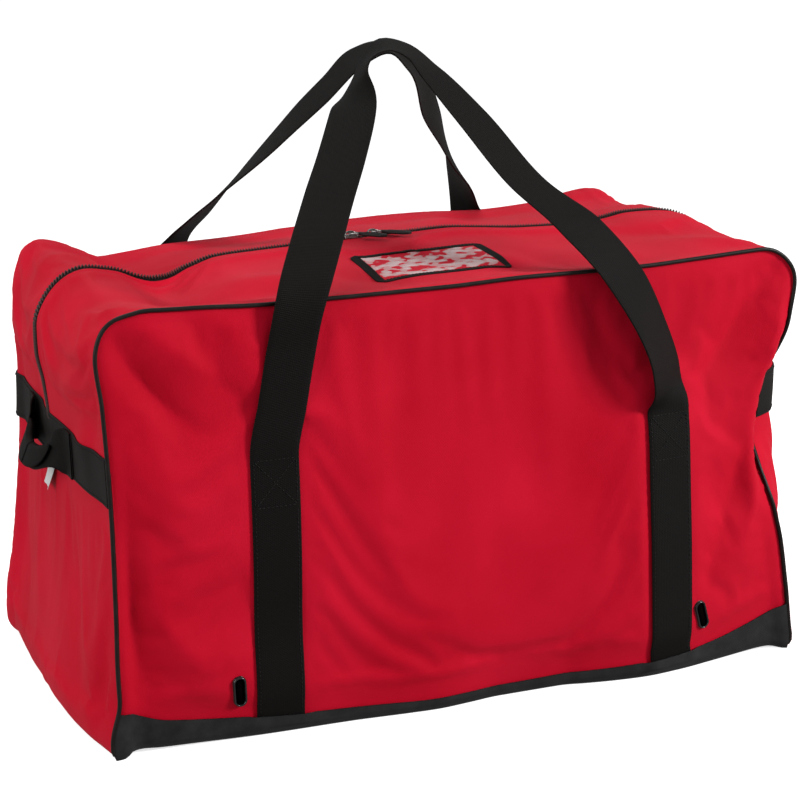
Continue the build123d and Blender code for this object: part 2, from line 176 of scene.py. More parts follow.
ZIP_OUT = line((0, 33.2), (14, 39.2), (40, 41.2), (80, 36.2), (130, 27.2), (200, 16.2), (260, 9.2),
               (311, 10.2), (344, 13.2), (377, 18.2), (404, 17.2), (425, 11.4), (437, 8.9), (452, 6.7),
               (465, 4.7), (483, 0.7), (504, -2.8), (525, -10.3), (541, -13.3), (558, -12.3),
               (586, -6.3), (614, 0.7), (653, 3), (700, 5), (762, 6.7), (827, 8.7), (875, 10.2),
               (920, 6.7), (971, 2.7), (1010, 1.7), (1040, 2.7), (1071, 5.7), (1102, 9.2), (1134, 8.2),
               (1157, 6.4), (1190, 8.4), (1226, 12.2), (1260, 14.2), (1322, 18.2), (1373, 20.2),
               (1433, 23.2), (1503, 24.2), (1573, 24.2), (1610, 25.2), (1634, 19.2))
ZIP_SIDEWAYS = line((0, 0), (340, 0), (400, 4), (470, 6), (504, 0), (530, -12), (550, -14), (586, 3),
                    (630, 5), (760, 1), (960, 2), (1060, -4), (1100, 0), (1160, 6), (1230, 0), (1634, 0))
REAR_OUT = line((0, 26), (20, 33), (60, 30), (100, 22), (200, 8), (300, -2), (380, -4), (407, -4),
                (435, -1), (451, 4), (465, 2.5), (478, -3), (494, -9.6), (514, -19.4), (534, -28),
                (561, -26), (616, -22), (690, -20), (770, -15), (910, -9.5), (1010, -13), (1083, -11),
                (1124, -1), (1150, 3), (1173, 5), (1195, 5), (1226, 0), (1300, -6), (1400, -14),
                (1470, -8), (1573, 2), (1634, 0))
CROWN = line((0, 2.6), (200, 2.3), (330, 2.0), (420, 1.7), (500, 1.7), (1130, 1.7), (1230, 2.2),
             (1310, 4.2), (1440, 4.6), (1540, 3.0), (1634, 2.6))

REAR_SHOULDER = 6.0        # the cloth swells this far just before the rear seam

# Folds over the tunnel: start g, y, end g, y, height, half width. Negative heights are valleys.
TUNNEL_FOLDS = (
    (470, -212, 640, -196, 3.0, 15),
    (440, -190, 475, -214, 3.5, 12),
    (420, -120, 560, -150, -3.0, 30),
    (395, -205, 440, -150, 3.0, 14),
    (540, -190, 545, 190, -5.0, 36),
    (560, -150, 660, -175, -3.5, 28),
    (600, -110, 690, -140, 3.5, 26),
    (330, -60, 420, -120, -3.0, 24),
    (300, -170, 360, -205, -3.0, 20),
    (320, -190, 300, -120, 3.0, 16),
    (300, 40, 400, 150, -3.5, 26),
    (420, 90, 520, 130, 4.0, 30),
    (1110, -140, 1170, -200, 3.5, 18),
    (1060, -60, 1150, -120, -4.0, 28),
    (1160, -36, 1215, -62, 3.0, 20),
    (1240, -190, 1320, -120, -4.0, 26),
    (1330, -195, 1290, -80, 3.0, 18),
    (1080, 60, 1170, 170, -3.5, 30),
    (700, -120, 760, -190, -2.5, 22),
    (886, -150, 905, -190, -2.6, 24),
    (920, -110, 960, -200, -2.5, 26),
    (1010, -100, 1030, -190, 2.5, 24),
    (640, 100, 740, 190, -2.5, 30),
    (880, 90, 960, 180, 2.5, 30),
    # lower ends
    (40, -180, 200, -120, 3.0, 20),
    (60, -140, 240, -60, -3.5, 24),
    (20, -195, 150, -200, -2.5, 14),
    (90, 40, 230, 120, 3.0, 28),
    (30, 100, 160, 190, -3.5, 26),
    (1400, -180, 1520, -110, -3.5, 24),
    (1480, -60, 1600, -150, 3.5, 26),
    (1370, -200, 1430, -150, 3.5, 16),
    (1440, 80, 1590, 150, -3.0, 28),
)


FOLD_DEPTH = 1.7


def fold_field(folds, a, b):
    """Height of a set of soft folds at places (a, b)."""
    total = np.zeros(np.broadcast(a, b).shape)
    for a0, b0, a1, b1, height, width in folds:
        da, db = a1 - a0, b1 - b0
        length = math.hypot(da, db)
        t = ((a - a0) * da + (b - b0) * db) / length ** 2
        across = ((a - a0) * db - (b - b0) * da) / length
        bend = 0.12 * length * (t - 0.5) ** 2
        total += height * bump((t - 0.5) / 0.85) * np.exp(-np.abs((across + bend) / width) ** 1.6)
    return FOLD_DEPTH * total


def ripple(a, b, size, seed):
    """Gentle irregular unevenness of handled cloth, about 1 high."""
    random = np.random.default_rng(seed)
    total = np.zeros(np.broadcast(a, b).shape)
    for _ in range(14):
        angle = random.uniform(0, 2 * math.pi)
        pace = 2 * math.pi / (size * random.uniform(0.6, 1.8))
        phase = random.uniform(0, 2 * math.pi)
        total += np.sin(pace * (a * math.cos(angle) + b * math.sin(angle)) + phase)
    return total / 5.0


def shell(g, y):
    """A point of the tunnel-shaped cloth at girth g and depth y, in millimetres."""
    g, y = np.broadcast_arrays(np.asarray(g, float), np.asarray(y, float))
    x, z, nx, nz = tunnel(g)
    from_zip = np.clip(np.abs(y) / SEAM_Y, 0, 1)
    seam = np.where(y < 0, FRONT_OUT(g), REAR_OUT(g))
    out = seam + (ZIP_OUT(g) - seam) * (1 - from_zip ** CROWN(g))
    out = out + REAR_SHOULDER * bump((y - 206) / 30)
    free = smooth((1 - from_zip) * 9) * smooth(np.abs(y) / 16)
    out = out + free * (fold_field(TUNNEL_FOLDS, g, y) + 0.9 * ripple(g, y, 120, 3))
    tuck = np.clip((14 - np.minimum(g, GIRTH - g)) / 14, 0, 1)
    out = out - 9 * (1 - np.sqrt(1 - tuck ** 2))
    deep = y + ZIP_SIDEWAYS(g) * (1 - from_zip) ** 1.5 + np.where(y < 0, FRONT_BACK(g), 0) * from_zip ** 3
    return np.stack([x + nx * out, deep, z + nz * out], axis=-1)


# Where the base meets the floor, how high its seam is, and the folds of the two big panels.
FOOT_FRONT = line((-420, -231), (-392, -234), (-383, -231), (-372, -223), (-362, -220), (-345, -222),
                  (-314, -223), (-243, -227), (-146, -230), (-80, -236), (-49, -238), (-13, -234),
                  (23, -229), (93, -229), (124, -236), (157, -242), (192, -245), (231, -241),
                  (272, -234), (314, -227), (356, -222), (420, -222))
FOOT_REAR = line((-420, 226), (-380, 222), (-300, 226), (-180, 233), (-60, 229), (80, 236), (200, 230),
                 (320, 226), (420, 222))
BASE_SEAM = line((-420, 53), (-382, 47), (-363, 37), (-342, 31), (-322, 28.5), (-280, 25), (-189, 18.5),
                 (-102, 15), (-57, 13.5), (34, 14), (128, 16), (176, 17.5), (249, 22), (288, 27),
                 (308, 31), (328, 35.5), (348, 42), (374, 54), (420, 62))
FRONT_FOLDS = (
    (-372, 428, -300, 330, -6.0, 17),
    (-350, 440, -250, 370, 4.5, 20),
    (-300, 445, -238, 340, -4.5, 16),
    (-262, 440, -170, 330, 3.0, 24),
    (-340, 300, -250, 180, 3.5, 30),
    (-372, 250, -362, 60, -4.5, 18),
    (-330, 150, -280, 40, 4.0, 26),
    (-300, 230, -190, 60, -3.0, 30),
    (-120, 400, -60, 60, 2.5, 45),
    (-20, 430, 20, 120, -2.5, 50),
    (90, 420, 70, 80, 2.5, 40),
    (150, 300, 190, 30, 4.0, 40),
    (352, 438, 262, 318, -6.5, 18),
    (300, 440, 240, 380, 2.5, 22),
    (362, 400, 340, 300, 5.0, 14),
    (354, 362, 318, 212, 12.0, 15),
    (344, 310, 262, 110, -3.2, 15),
    (356, 280, 290, 80, 4.0, 20),
    (250, 250, 250, 60, 2.0, 26),
)
REAR_FOLDS = (
    (-352, 430, -250, 320, -6.0, 20),
    (-300, 440, -200, 340, 4.0, 24),
    (352, 430, 270, 300, -6.0, 20),
    (340, 300, 300, 120, 5.0, 24),
    (-350, 280, -320, 80, 5.0, 22),
    (-120, 400, -60, 80, 3.0, 50),
    (60, 420, 110, 90, -3.0, 45),
    (-250, 230, -300, 60, -4.0, 26),
    (250, 220, 310, 50, -4.5, 26),
)


FRONT_BELLY = line((-420, 0), (-381, 0), (-330, 1), (-260, 2), (-146, 4), (-60, 8), (40, 6), (120, 10),
                   (192, 18), (231, 14), (272, 6), (314, 0), (350, -3), (381, 0), (420, 0))
REAR_BELLY = line((-420, 0), (-381, 0), (-250, 5), (-60, 9), (100, 7), (240, 6), (381, 0), (420, 0))
STRAP_X = (-218.0, 215.0)
STRAP_DRIFT = (2.3, -2.0)  # how far a strap leans sideways by its top
STRAP_TOP = 300.0
VENTS = ((-263.0, 54.0, 0.05), (255.5, 61.0, 0.30))  # middle x, z and sideways lean


def strap_middle(k, z):
    """Where strap k is along the bag at height z."""
    return STRAP_X[k] + STRAP_DRIFT[k] * (z - STRAP_TOP / 2) / (STRAP_TOP / 2)


def lean(sign, x, z):
    """How far a big panel or the tarpaulin under it leans out of the seam plane, apart from its folds."""
    foot, belly = (FOOT_FRONT, FRONT_BELLY) if sign < 0 else (FOOT_REAR, REAR_BELLY)
    low = np.exp(-np.maximum(z, 0) / 90)
    return (np.abs(foot(x)) - SEAM_Y) * low + belly(x) * smooth((445 - z) / 190) * (1 - low)


def panel_relief(x, z, folds, seed):
    """How far a big panel's belly and folds stand out of its seam plane."""
    inside = smooth((HALF_LENGTH - np.abs(x)) / 60) * smooth((HEIGHT - z) / 50)
    belly = 2.5 * inside + 2.0 * inside * np.exp(-((z - 190) / 140) ** 2)
    folded = fold_field(folds, x, z) + 0.8 * ripple(x, z, 150, seed)
    for k in range(len(STRAP_X)):
        strap = strap_middle(k, z)
        under = smooth((35 - np.abs(x - strap)) / 9) * smooth((STRAP_TOP + 12 - z) / 20)
        middle = fold_field(folds, strap, z) + 0.8 * ripple(strap, z, 150, seed)
        folded = folded + under * (middle - folded)
    return belly + folded


# ---------------------------------------------------------------- meshes
def new_object(name, vertices, faces, material, uv=None, normals=None):
    """A mesh object from points in millimetres."""
    mesh = bpy.data.meshes.new(name)
    mesh.from_pydata((np.asarray(vertices) * MM).tolist(), [], [list(map(int, f)) for f in faces])
    mesh.validate()
    if uv is not None:
        layer = mesh.uv_layers.new(name="cloth")
        loops = np.empty(len(mesh.loops), np.int32)
        mesh.loops.foreach_get("vertex_index", loops)
        layer.data.foreach_set("uv", (np.asarray(uv)[loops] * MM).astype(np.float32).ravel())
    mesh.polygons.foreach_set("use_smooth", [True] * len(mesh.polygons))
    if normals is not None:
        mesh.normals_split_custom_set_from_vertices([tuple(n) for n in normals])
    obj = bpy.data.objects.new(name, mesh)
    bpy.context.scene.collection.objects.link(obj)
    if material is not None:
        mesh.materials.append(material)
    return obj


def fit(obj, slot, body, *nodes):
    """Puts a piece on a body, in place of CAD nodes where it stands for any; the slot it is given is not used.
    """
    if nodes:
        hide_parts(*nodes)
    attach(obj, body)


def grid_faces(rows, cols, wrap=False):
    index = np.arange(rows * cols).reshape(rows, cols)
    if wrap:
        index = np.concatenate([index, index[:, :1]], axis=1)
    a, b = index[:-1, :-1], index[:-1, 1:]
    c, d = index[1:, 1:], index[1:, :-1]
    return np.stack([a, b, c, d], axis=-1).reshape(-1, 4)


def vertex_normals(vertices, faces):
    """Outward directions at the points of a mesh of triangles or of four-sided faces."""
    normals = np.zeros_like(vertices)
    faces = np.asarray(faces)
    corners = vertices[faces]
    if faces.shape[1] == 4:
        n = np.cross(corners[:, 2] - corners[:, 0], corners[:, 3] - corners[:, 1])
    else:
        n = np.cross(corners[:, 1] - corners[:, 0], corners[:, 2] - corners[:, 0])
    for k in range(faces.shape[1]):
        np.add.at(normals, faces[:, k], n)
    return unit(normals)


def cloth_shell(name, vertices, faces, material, uv=None, normals=None, thick=CLOTH):
    """A closed sheet of cloth: the outer face where the points are, and the inner one a thickness inside."""
    faces = np.asarray(faces)
    if normals is None:
        normals = vertex_normals(vertices, faces)
    count = len(vertices)
    sides = faces.shape[1]
    edges = {}
    for k in range(sides):
        for a, b in zip(faces[:, k].tolist(), faces[:, (k + 1) % sides].tolist()):
            if (b, a) in edges:
                del edges[(b, a)]
            else:
                edges[(a, b)] = True
    rim = [(b, a, a + count, b + count) for a, b in edges]
    inner = [tuple(f + count for f in face[::-1]) for face in faces.tolist()]
    every = [tuple(f) for f in faces] + inner + rim
    points = np.concatenate([vertices, vertices - normals * thick])
    both = np.concatenate([normals, -normals])
    if uv is not None:
        uv = np.concatenate([uv, uv])
    return new_object(name, points, every, material, uv=uv, normals=both)


def tube(name, path, radius, material, sides=10, start=(0.0, 1.0, 0.0)):
    """A round cord along a path, with closed ends."""
    path = np.asarray(path, float)
    tangent = unit(np.gradient(path, axis=0))
    side = np.zeros_like(path)
    last = np.array(start, float)
    for k, t in enumerate(tangent):
        last = last - t * (last @ t)
        if np.linalg.norm(last) < 1e-6:
            last = np.cross(t, [0.3, 0.5, 0.8])
        last = last / np.linalg.norm(last)
        side[k] = last
    up = np.cross(tangent, side)
    turn = np.linspace(0, 2 * math.pi, sides, endpoint=False)
    radius = np.broadcast_to(radius, len(path))[:, None, None]
    ring = (side[:, None] * np.cos(turn)[None, :, None] + up[:, None] * np.sin(turn)[None, :, None]) * radius
    points = (path[:, None] + ring).reshape(-1, 3)
    faces = grid_faces(len(path), sides, wrap=True)[:, ::-1].tolist()
    first, final = len(points), len(points) + 1
    points = np.concatenate([points, path[:1] - tangent[:1] * 0.6, path[-1:] + tangent[-1:] * 0.6])
    base = (len(path) - 1) * sides
    faces += [(first, k, (k + 1) % sides) for k in range(sides)]
    faces += [(final, base + (k + 1) % sides, base + k) for k in range(sides)]
    length = distances(path)
    uv = np.stack([np.tile(turn * 2.0, (len(path), 1)).ravel(), np.repeat(length, sides)], axis=1)
    uv = np.concatenate([uv, [[0, 0], [0, length[-1]]]])
    return new_object(name, points, faces, material, uv=uv)


def ribbon_points(centres, across, width, thick, cup=0.0, columns=9):
    """Points, faces and UVs of a strap whose width lies along the given directions."""
    centres = np.asarray(centres, float)
    tangent = unit(np.gradient(centres, axis=0))
    across = unit(across - tangent * np.sum(across * tangent, axis=1, keepdims=True))
    normal = np.cross(tangent, across)
    half, round_edge = width / 2, thick / 2
    flat = np.linspace(-1, 1, columns)
    ring = []
    for s in flat:
        ring.append((s, -1, 0))
    for angle in (-45, 0, 45):
        ring.append((1, math.sin(math.radians(angle)), math.cos(math.radians(angle))))
    for s in flat[::-1]:
        ring.append((s, 1, 0))
    for angle in (45, 0, -45):
        ring.append((-1, math.sin(math.radians(angle)), -math.cos(math.radians(angle))))
    rows = []
    for s, up, out in ring:
        sideways = s * (half - round_edge * 0.9) + out * round_edge * 0.9
        lift = up * round_edge + cup * (1 - s * s)
        rows.append(centres + across * sideways + normal * lift)
    points = np.stack(rows, axis=1)
    count = len(ring)
    length = distances(centres)
    sideways = [s * width / 2 for s, _, _ in ring]
    uv = np.stack([np.tile(sideways, (len(centres), 1)).ravel(), np.repeat(length, count)], axis=1)
    faces = grid_faces(len(centres), count, wrap=True).tolist()
    last = (len(centres) - 1) * count
    for k in range(columns - 1):
        top_a, top_b = columns + 3 + (columns - 1 - k), columns + 3 + (columns - 2 - k)
        faces.append((k, k + 1, top_b, top_a)[::-1])
        faces.append((last + k, last + k + 1, last + top_b, last + top_a))
    right = [columns - 1, columns, columns + 1, columns + 2, columns + 3]
    left = [2 * columns + 2, 2 * columns + 3, 2 * columns + 4, 2 * columns + 5, 0]
    for side in (right, left):
        faces.append(tuple(side)[::-1])
        faces.append(tuple(last + k for k in side))
    return points.reshape(-1, 3), faces, uv


def ribbon(name, centres, across, material, width=WEBBING_WIDTH, thick=WEBBING_THICK, cup=0.0):
    points, faces, uv = ribbon_points(centres, across, width, thick, cup)
    return new_object(name, points, faces, material, uv=uv)


def merged(name, parts, material):
    """One mesh from several (points, faces) lists."""
    points, faces, base = [], [], 0
    for p, f in parts:
        points.append(p)
        faces += [tuple(int(k) + base for k in face) for face in f]
        base += len(p)
    return new_object(name, np.concatenate(points), faces, material)


BAR_SIDES = 6


def small_bars(rings):
    """Points and faces of many small closed bars. Each of rings holds one ring of every bar."""
    points = np.stack(rings, axis=1).reshape(-1, 3)
    block = len(rings) * BAR_SIDES
    one = grid_faces(len(rings), BAR_SIDES, wrap=True).tolist()
    one.append(tuple(range(BAR_SIDES)))
    one.append(tuple(range(block - BAR_SIDES, block))[::-1])
    faces = [tuple(k + n * block for k in face) for n in range(len(points) // block) for face in one]
    return points, faces


def bar_ring(side, up, half_wide, half_high):
    """One ring of every bar, round the bars' middle lines."""
    turn = np.linspace(0, 2 * math.pi, BAR_SIDES, endpoint=False)
    return side[:, None] * np.cos(turn)[:, None] * half_wide + up[:, None] * np.sin(turn)[:, None] * half_high


def stitch_row(path, normal, length=3.4, gap=1.5, radius=0.42, lift=0.15):
    """Points and faces of a run of sewing stitches along a path on a surface."""
    path, normal = np.asarray(path, float), np.broadcast_to(np.asarray(normal, float), np.shape(path))
    total = distances(path)
    count = max(1, int(total[-1] / (length + gap)))
    starts = np.arange(count) * (length + gap) + (total[-1] - count * (length + gap) + gap) / 2
    profile = ((0.0, 0.35, -0.6), (0.18, 0.95, 0.1), (0.5, 1.0, 0.35), (0.82, 0.95, 0.1), (1.0, 0.35, -0.6))
    rings = []

    def read(at, field):
        return np.stack([np.interp(at, total, field[:, k]) for k in range(3)], axis=1)

    for share, size, high in profile:
        at = starts + share * length
        centre, out = read(at, path), unit(read(at, normal))
        ahead = unit(read(at + 0.5, path) - read(at - 0.5, path))
        side = unit(np.cross(ahead, out))
        ring = bar_ring(side, out, 1.0, 1.0) * radius * size
        rings.append(centre[:, None] + out[:, None] * (lift + high * radius) + ring)
    return small_bars(rings)


def surface_of(vertices, faces):
    """A search tree of a mesh, for casting points on to it."""
    return BVHTree.FromPolygons([Vector(v) for v in vertices], [tuple(map(int, f)) for f in faces])


CAST_FROM = 120.0          # how far off a surface its rays start


def drop(tree, points, direction, lift=0.0):
    """Points cast on to a surface along a direction, then lifted back off it; with the surface normals."""
    direction = Vector(direction).normalized()
    placed, normals = [], []
    for p in np.asarray(points, float):
        start = Vector(p) - direction * CAST_FROM
        hit, normal, _, _ = tree.ray_cast(start, direction)
        if hit is None:
            hit, normal, _, _ = tree.find_nearest(Vector(p))
        if normal.dot(direction) > 0:
            normal = -normal
        placed.append(np.array(hit) + np.array(normal) * lift)
        normals.append(np.array(normal))
    return np.array(placed), np.array(normals)


def capsules(starts, ends, ups, half_wide, half_high):
    """Points and faces of many small rounded bars, from starts to ends, with their flat way up along ups."""
    profile = ((0.0, 0.35), (0.14, 0.85), (0.5, 1.0), (0.86, 0.85), (1.0, 0.35))
    run = unit(ends - starts)
    up = unit(ups - run * np.sum(ups * run, axis=1, keepdims=True))
    side = np.cross(run, up)
    rings = []
    for share, size in profile:
        centre = starts + (ends - starts) * share
        rings.append(centre[:, None] + bar_ring(side, up, half_wide, half_high) * size)
    return small_bars(rings)


# ---------------------------------------------------------------- letting the cloth settle
SETTLE_FRAMES = 14
CLOTH_GRAVITY = 0.25


def settle(name, points, faces, free, grow, pressure, reach):
    """Lets a sewn-in sheet hang in Blender's cloth solver. Points stay put where free is 0, the cloth is cut
    larger than its place by the share grow, and no point moves further than reach millimetres."""
    scene = bpy.context.scene
    obj = new_object(name, points, faces, None)
    held = obj.vertex_groups.new(name="held")
    weights = np.round(1 - np.clip(free, 0, 1), 2)
    for weight in np.unique(weights):
        held.add(np.flatnonzero(weights == weight).tolist(), float(weight), "REPLACE")
    modifier = obj.modifiers.new("settle", "CLOTH")
    cloth = modifier.settings
    cloth.quality = 5
    cloth.mass = 0.25
    cloth.tension_stiffness = cloth.compression_stiffness = 12.0
    cloth.shear_stiffness = 6.0
    cloth.bending_stiffness = 1.2
    cloth.vertex_group_mass = "held"
    cloth.pin_stiffness = 3.0
    cloth.shrink_min = -grow
    cloth.use_pressure = True
    cloth.uniform_pressure_force = pressure
    cloth.effector_weights.gravity = CLOTH_GRAVITY
    modifier.collision_settings.use_collision = False
    modifier.collision_settings.use_self_collision = False
    modifier.point_cache.frame_start = 1
    modifier.point_cache.frame_end = SETTLE_FRAMES
    for step in range(1, SETTLE_FRAMES + 1):
        scene.frame_set(step)
    solved = obj.evaluated_get(bpy.context.evaluated_depsgraph_get()).data
    moved = np.empty(len(solved.vertices) * 3, np.float32)
    solved.vertices.foreach_get("co", moved)
    bpy.data.objects.remove(obj)
    scene.frame_set(1)
    shift = moved.reshape(-1, 3) / MM - points
    size = np.maximum(np.linalg.norm(shift, axis=1, keepdims=True), 1e-6)
    return points + shift / size * reach * np.tanh(size / reach) * np.clip(free, 0, 1)[:, None]


# ---------------------------------------------------------------- materials
class Look:
    """A Principled material while it is made. Extra sockets are given by name, with _ for spaces."""

    def __init__(self, name, color, roughness, **sockets):
        self.material = bpy.data.materials.new(name)
        self.material.use_nodes = True
        self.nodes, self.links = self.material.node_tree.nodes, self.material.node_tree.links
        self.shader = self.nodes["Principled BSDF"]
        self.shader.inputs["Base Color"].default_value = (*color, 1)
        self.shader.inputs["Roughness"].default_value = roughness
        for key, value in sockets.items():
            self.shader.inputs[key.replace("_", " ")].default_value = value

    def feed(self, socket, source):
        """Drives one of the shader's inputs."""
        self.links.new(source, self.shader.inputs[socket])

    def math(self, kind, *inputs):
        node = self.nodes.new("ShaderNodeMath")
        node.operation = kind
        for k, value in enumerate(inputs):
            if isinstance(value, (int, float)):
                node.inputs[k].default_value = value
            else:
                self.links.new(value, node.inputs[k])
        return node.outputs[0]

    def noise(self, source, scale, detail=3.0, rough=0.55, distortion=0.0):
        node = self.nodes.new("ShaderNodeTexNoise")
        node.inputs["Scale"].default_value = scale
        node.inputs["Detail"].default_value = detail
        node.inputs["Roughness"].default_value = rough
        node.inputs["Distortion"].default_value = distortion
        self.links.new(source, node.inputs["Vector"])
        return node.outputs["Fac"]

    def ramp(self, source, low, high, dark, light):
        """Colour from dark to light as source goes from low to high."""
        node = self.nodes.new("ShaderNodeValToRGB")
        node.color_ramp.elements[0].position = low
        node.color_ramp.elements[1].position = high
        node.color_ramp.elements[0].color = (*dark, 1)
        node.color_ramp.elements[1].color = (*light, 1)
        self.links.new(source, node.inputs["Fac"])
        return node.outputs["Color"]

    def bumps(self, *layers):
        """Chains (height, depth in metres, strength) bumps into the shader's normal."""
        last = None
        for height, distance, strength in layers:
            node = self.nodes.new("ShaderNodeBump")
            node.inputs["Distance"].default_value = distance
            node.inputs["Strength"].default_value = strength
            self.links.new(height, node.inputs["Height"])
            if last is not None:
                self.links.new(last, node.inputs["Normal"])
            last = node.outputs["Normal"]
        self.feed("Normal", last)

    def place(self):
        """Position on the object, in metres."""
        return self.nodes.new("ShaderNodeTexCoord").outputs["Object"]

    def cloth_axes(self):
        """Position on the flat cloth in metres, whole and as its two parts."""
        uv = self.nodes.new("ShaderNodeUVMap")
        uv.uv_map = "cloth"
        split = self.nodes.new("ShaderNodeSeparateXYZ")
        self.links.new(uv.outputs["UV"], split.inputs[0])
        return uv.outputs["UV"], split.outputs[0], split.outputs[1]

    def sine(self, source, period):
        return self.math("SINE", self.math("MULTIPLY", source, 2 * math.pi / period))

    def crossed(self, across, lengthwise, period):
        """Height of a plain weave whose threads repeat at a period in metres."""
        return self.math("MULTIPLY", self.sine(across, period), self.sine(lengthwise, period))


def woven_red():
    """Coated polyester: threads of a plain weave, and slightly uneven colour."""
    look = Look("red_polyester", (0.60, 0.004, 0.022), 0.66, Specular_IOR_Level=0.05, Sheen_Weight=0.05,
                Sheen_Roughness=0.45, Sheen_Tint=(1.0, 0.6, 0.64, 1))
    uv, across, lengthwise = look.cloth_axes()
    place = look.place()
    broad = look.noise(place, 7.0, 4.0)
    threads = look.noise(uv, 900.0, 2.0)
    mixed = look.math("ADD", look.math("MULTIPLY", broad, 0.7), look.math("MULTIPLY", threads, 0.3))
    look.feed("Base Color", look.ramp(mixed, 0.34, 0.68, (0.50, 0.002, 0.016), (0.62, 0.006, 0.028)))
    rough = look.math("MULTIPLY_ADD", threads, 0.18, 0.53)
    look.feed("Roughness", rough)
    weave = look.crossed(across, lengthwise, 0.0016)
    look.bumps((look.noise(place, 55.0, 3.0), 0.0012, 0.18), (weave, 0.00018, 0.55),
          (threads, 0.00025, 0.35))
    return look.material


def tarpaulin():
    """Scuffed black tarpaulin with its scrim showing faintly."""
    look = Look("tarpaulin", (0.022, 0.021, 0.022), 0.5, Specular_IOR_Level=0.12)
    _, across, lengthwise = look.cloth_axes()
    place = look.place()
    scuff = look.noise(place, 38.0, 6.0, 0.7)
    look.feed("Base Color", look.ramp(scuff, 0.3, 0.75, (0.014, 0.0136, 0.014), (0.031, 0.030, 0.031)))
    look.feed("Roughness", look.math("MULTIPLY_ADD", scuff, 0.3, 0.33))
    scrim = look.crossed(across, lengthwise, 0.0024)
    look.bumps((look.noise(place, 420.0, 3.0), 0.0003, 0.4), (scrim, 0.00016, 0.35))
    return look.material


def webbing(name, color, pale):
    """Webbing or tape, ribbed on a slant."""
    look = Look(name, color, 0.6, Specular_IOR_Level=0.09, Sheen_Weight=0.0, Sheen_Roughness=0.4,
                Sheen_Tint=(0.8, 0.75, 0.7, 1))
    uv, across, lengthwise = look.cloth_axes()
    slant = look.math("MULTIPLY_ADD", across, 0.32, lengthwise)
    ribs = look.math("ABSOLUTE", look.sine(slant, 0.0036))
    columns = look.math("MULTIPLY_ADD", look.sine(across, 0.0021), 0.16, 0.8)
    weave = look.math("MULTIPLY", ribs, columns)
    fuzz = look.noise(uv, 700.0, 3.0)
    blend = look.math("ADD", look.math("MULTIPLY", weave, 0.55), look.math("MULTIPLY", fuzz, 0.45))
    dark = tuple(0.55 * c for c in color)
    look.feed("Base Color", look.ramp(blend, 0.2, 0.9, dark, pale))
    look.bumps((weave, 0.0005, 0.75), (fuzz, 0.00025, 0.35))
    return look.material


def plain_material(name, dark, light, roughness, grain, depth, strength=0.4, **sockets):
    """A moulded, metal or thread material: mottled colour and roughness with a fine grain."""
    look = Look(name, light, roughness, **sockets)
    place = look.place()
    mottle = look.noise(place, grain, 4.0)
    look.feed("Base Color", look.ramp(mottle, 0.3, 0.7, dark, light))
    uneven = look.math("MULTIPLY_ADD", mottle, 0.2, roughness - 0.1)
    look.feed("Roughness", uneven)
    look.bumps((look.noise(place, grain * 3, 3.0), depth, strength))
    return look.material


def glare_card():
    """Sheet under the window film: red, with pale patches of painted glare standing in for light glinting off
    the crinkled film.
    """
    look = Look("window_glare_card", (0.5, 0.1, 0.1), 0.45, Specular_IOR_Level=0.4)
    uv, _, _ = look.cloth_axes()
    coarse = look.noise(uv, 30.0, 2.5, 0.5, 1.6)
    # painted glare: the pale pink patches over the red stand for light caught by the crinkled film
    look.feed("Base Color", look.ramp(coarse, 0.39, 0.45, (0.40, 0.014, 0.034), (0.95, 0.66, 0.66)))
    look.bumps((coarse, 0.0012, 0.5))
    return look.material


def clear_film():
    """Clear plastic, crinkled; its milky white colour, seen through its partial alpha, is painted glare."""
    # painted glare: the whitish base colour lightens everything seen through the film
    look = Look("window_film", (0.95, 0.90, 0.90), 0.16, Alpha=0.36)
    uv, _, _ = look.cloth_axes()
    crinkle = look.noise(uv, 60.0, 3.0, 0.6, 0.8)
    look.bumps((crinkle, 0.0008, 0.5))
    return look.material


RED = woven_red()
TARP = tarpaulin()
WEBBING = webbing("black_webbing", (0.0036, 0.0031, 0.0026), (0.0095, 0.0082, 0.0072))
BAND = webbing("band_webbing", (0.0085, 0.0072, 0.0066), (0.022, 0.019, 0.0175))
PIPING = plain_material("piping_vinyl", (0.006, 0.0042, 0.0036), (0.012, 0.009, 0.008), 0.45, 60, 0.0003,
                        Specular_IOR_Level=0.22)
BINDING = webbing("binding_tape", (0.005, 0.0045, 0.004), (0.013, 0.0115, 0.0105))
COIL = plain_material("zip_nylon", (0.024, 0.011, 0.010), (0.060, 0.030, 0.027), 0.45, 300, 0.0002,
                      Specular_IOR_Level=0.3)
THREAD = plain_material("black_thread", (0.005, 0.0045, 0.004), (0.014, 0.0125, 0.0115), 0.6, 900, 0.0002,
                        Specular_IOR_Level=0.2)
RED_THREAD = plain_material("red_thread", (0.42, 0.008, 0.02), (0.62, 0.02, 0.045), 0.55, 900, 0.0002)
METAL = plain_material("gunmetal", (0.16, 0.155, 0.15), (0.34, 0.33, 0.32), 0.3, 240, 0.0001, 0.3,
                       Metallic=1.0)
RUBBER = plain_material("pull_rubber", (0.005, 0.0045, 0.004), (0.011, 0.010, 0.0095), 0.5, 150, 0.0002,
                        Specular_IOR_Level=0.2)
VENT = plain_material("vent_plastic", (0.004, 0.004, 0.004), (0.010, 0.010, 0.010), 0.22, 90, 0.0001, 0.2,
                      Specular_IOR_Level=0.6)
# painted shade: near-black disc colour standing for the dark inside of each vent's hole
VENT_HOLE_SHADE = plain_material("vent_hole_shade", (0.0008, 0.0004, 0.0004), (0.002, 0.0008, 0.0008), 0.9, 600, 0.0004,
                           Specular_IOR_Level=0.02)
LABEL = plain_material("label_satin", (0.60, 0.60, 0.60), (0.74, 0.74, 0.73), 0.5, 400, 0.0002)
GLARE_CARD = glare_card()
GLARE_FILM = clear_film()


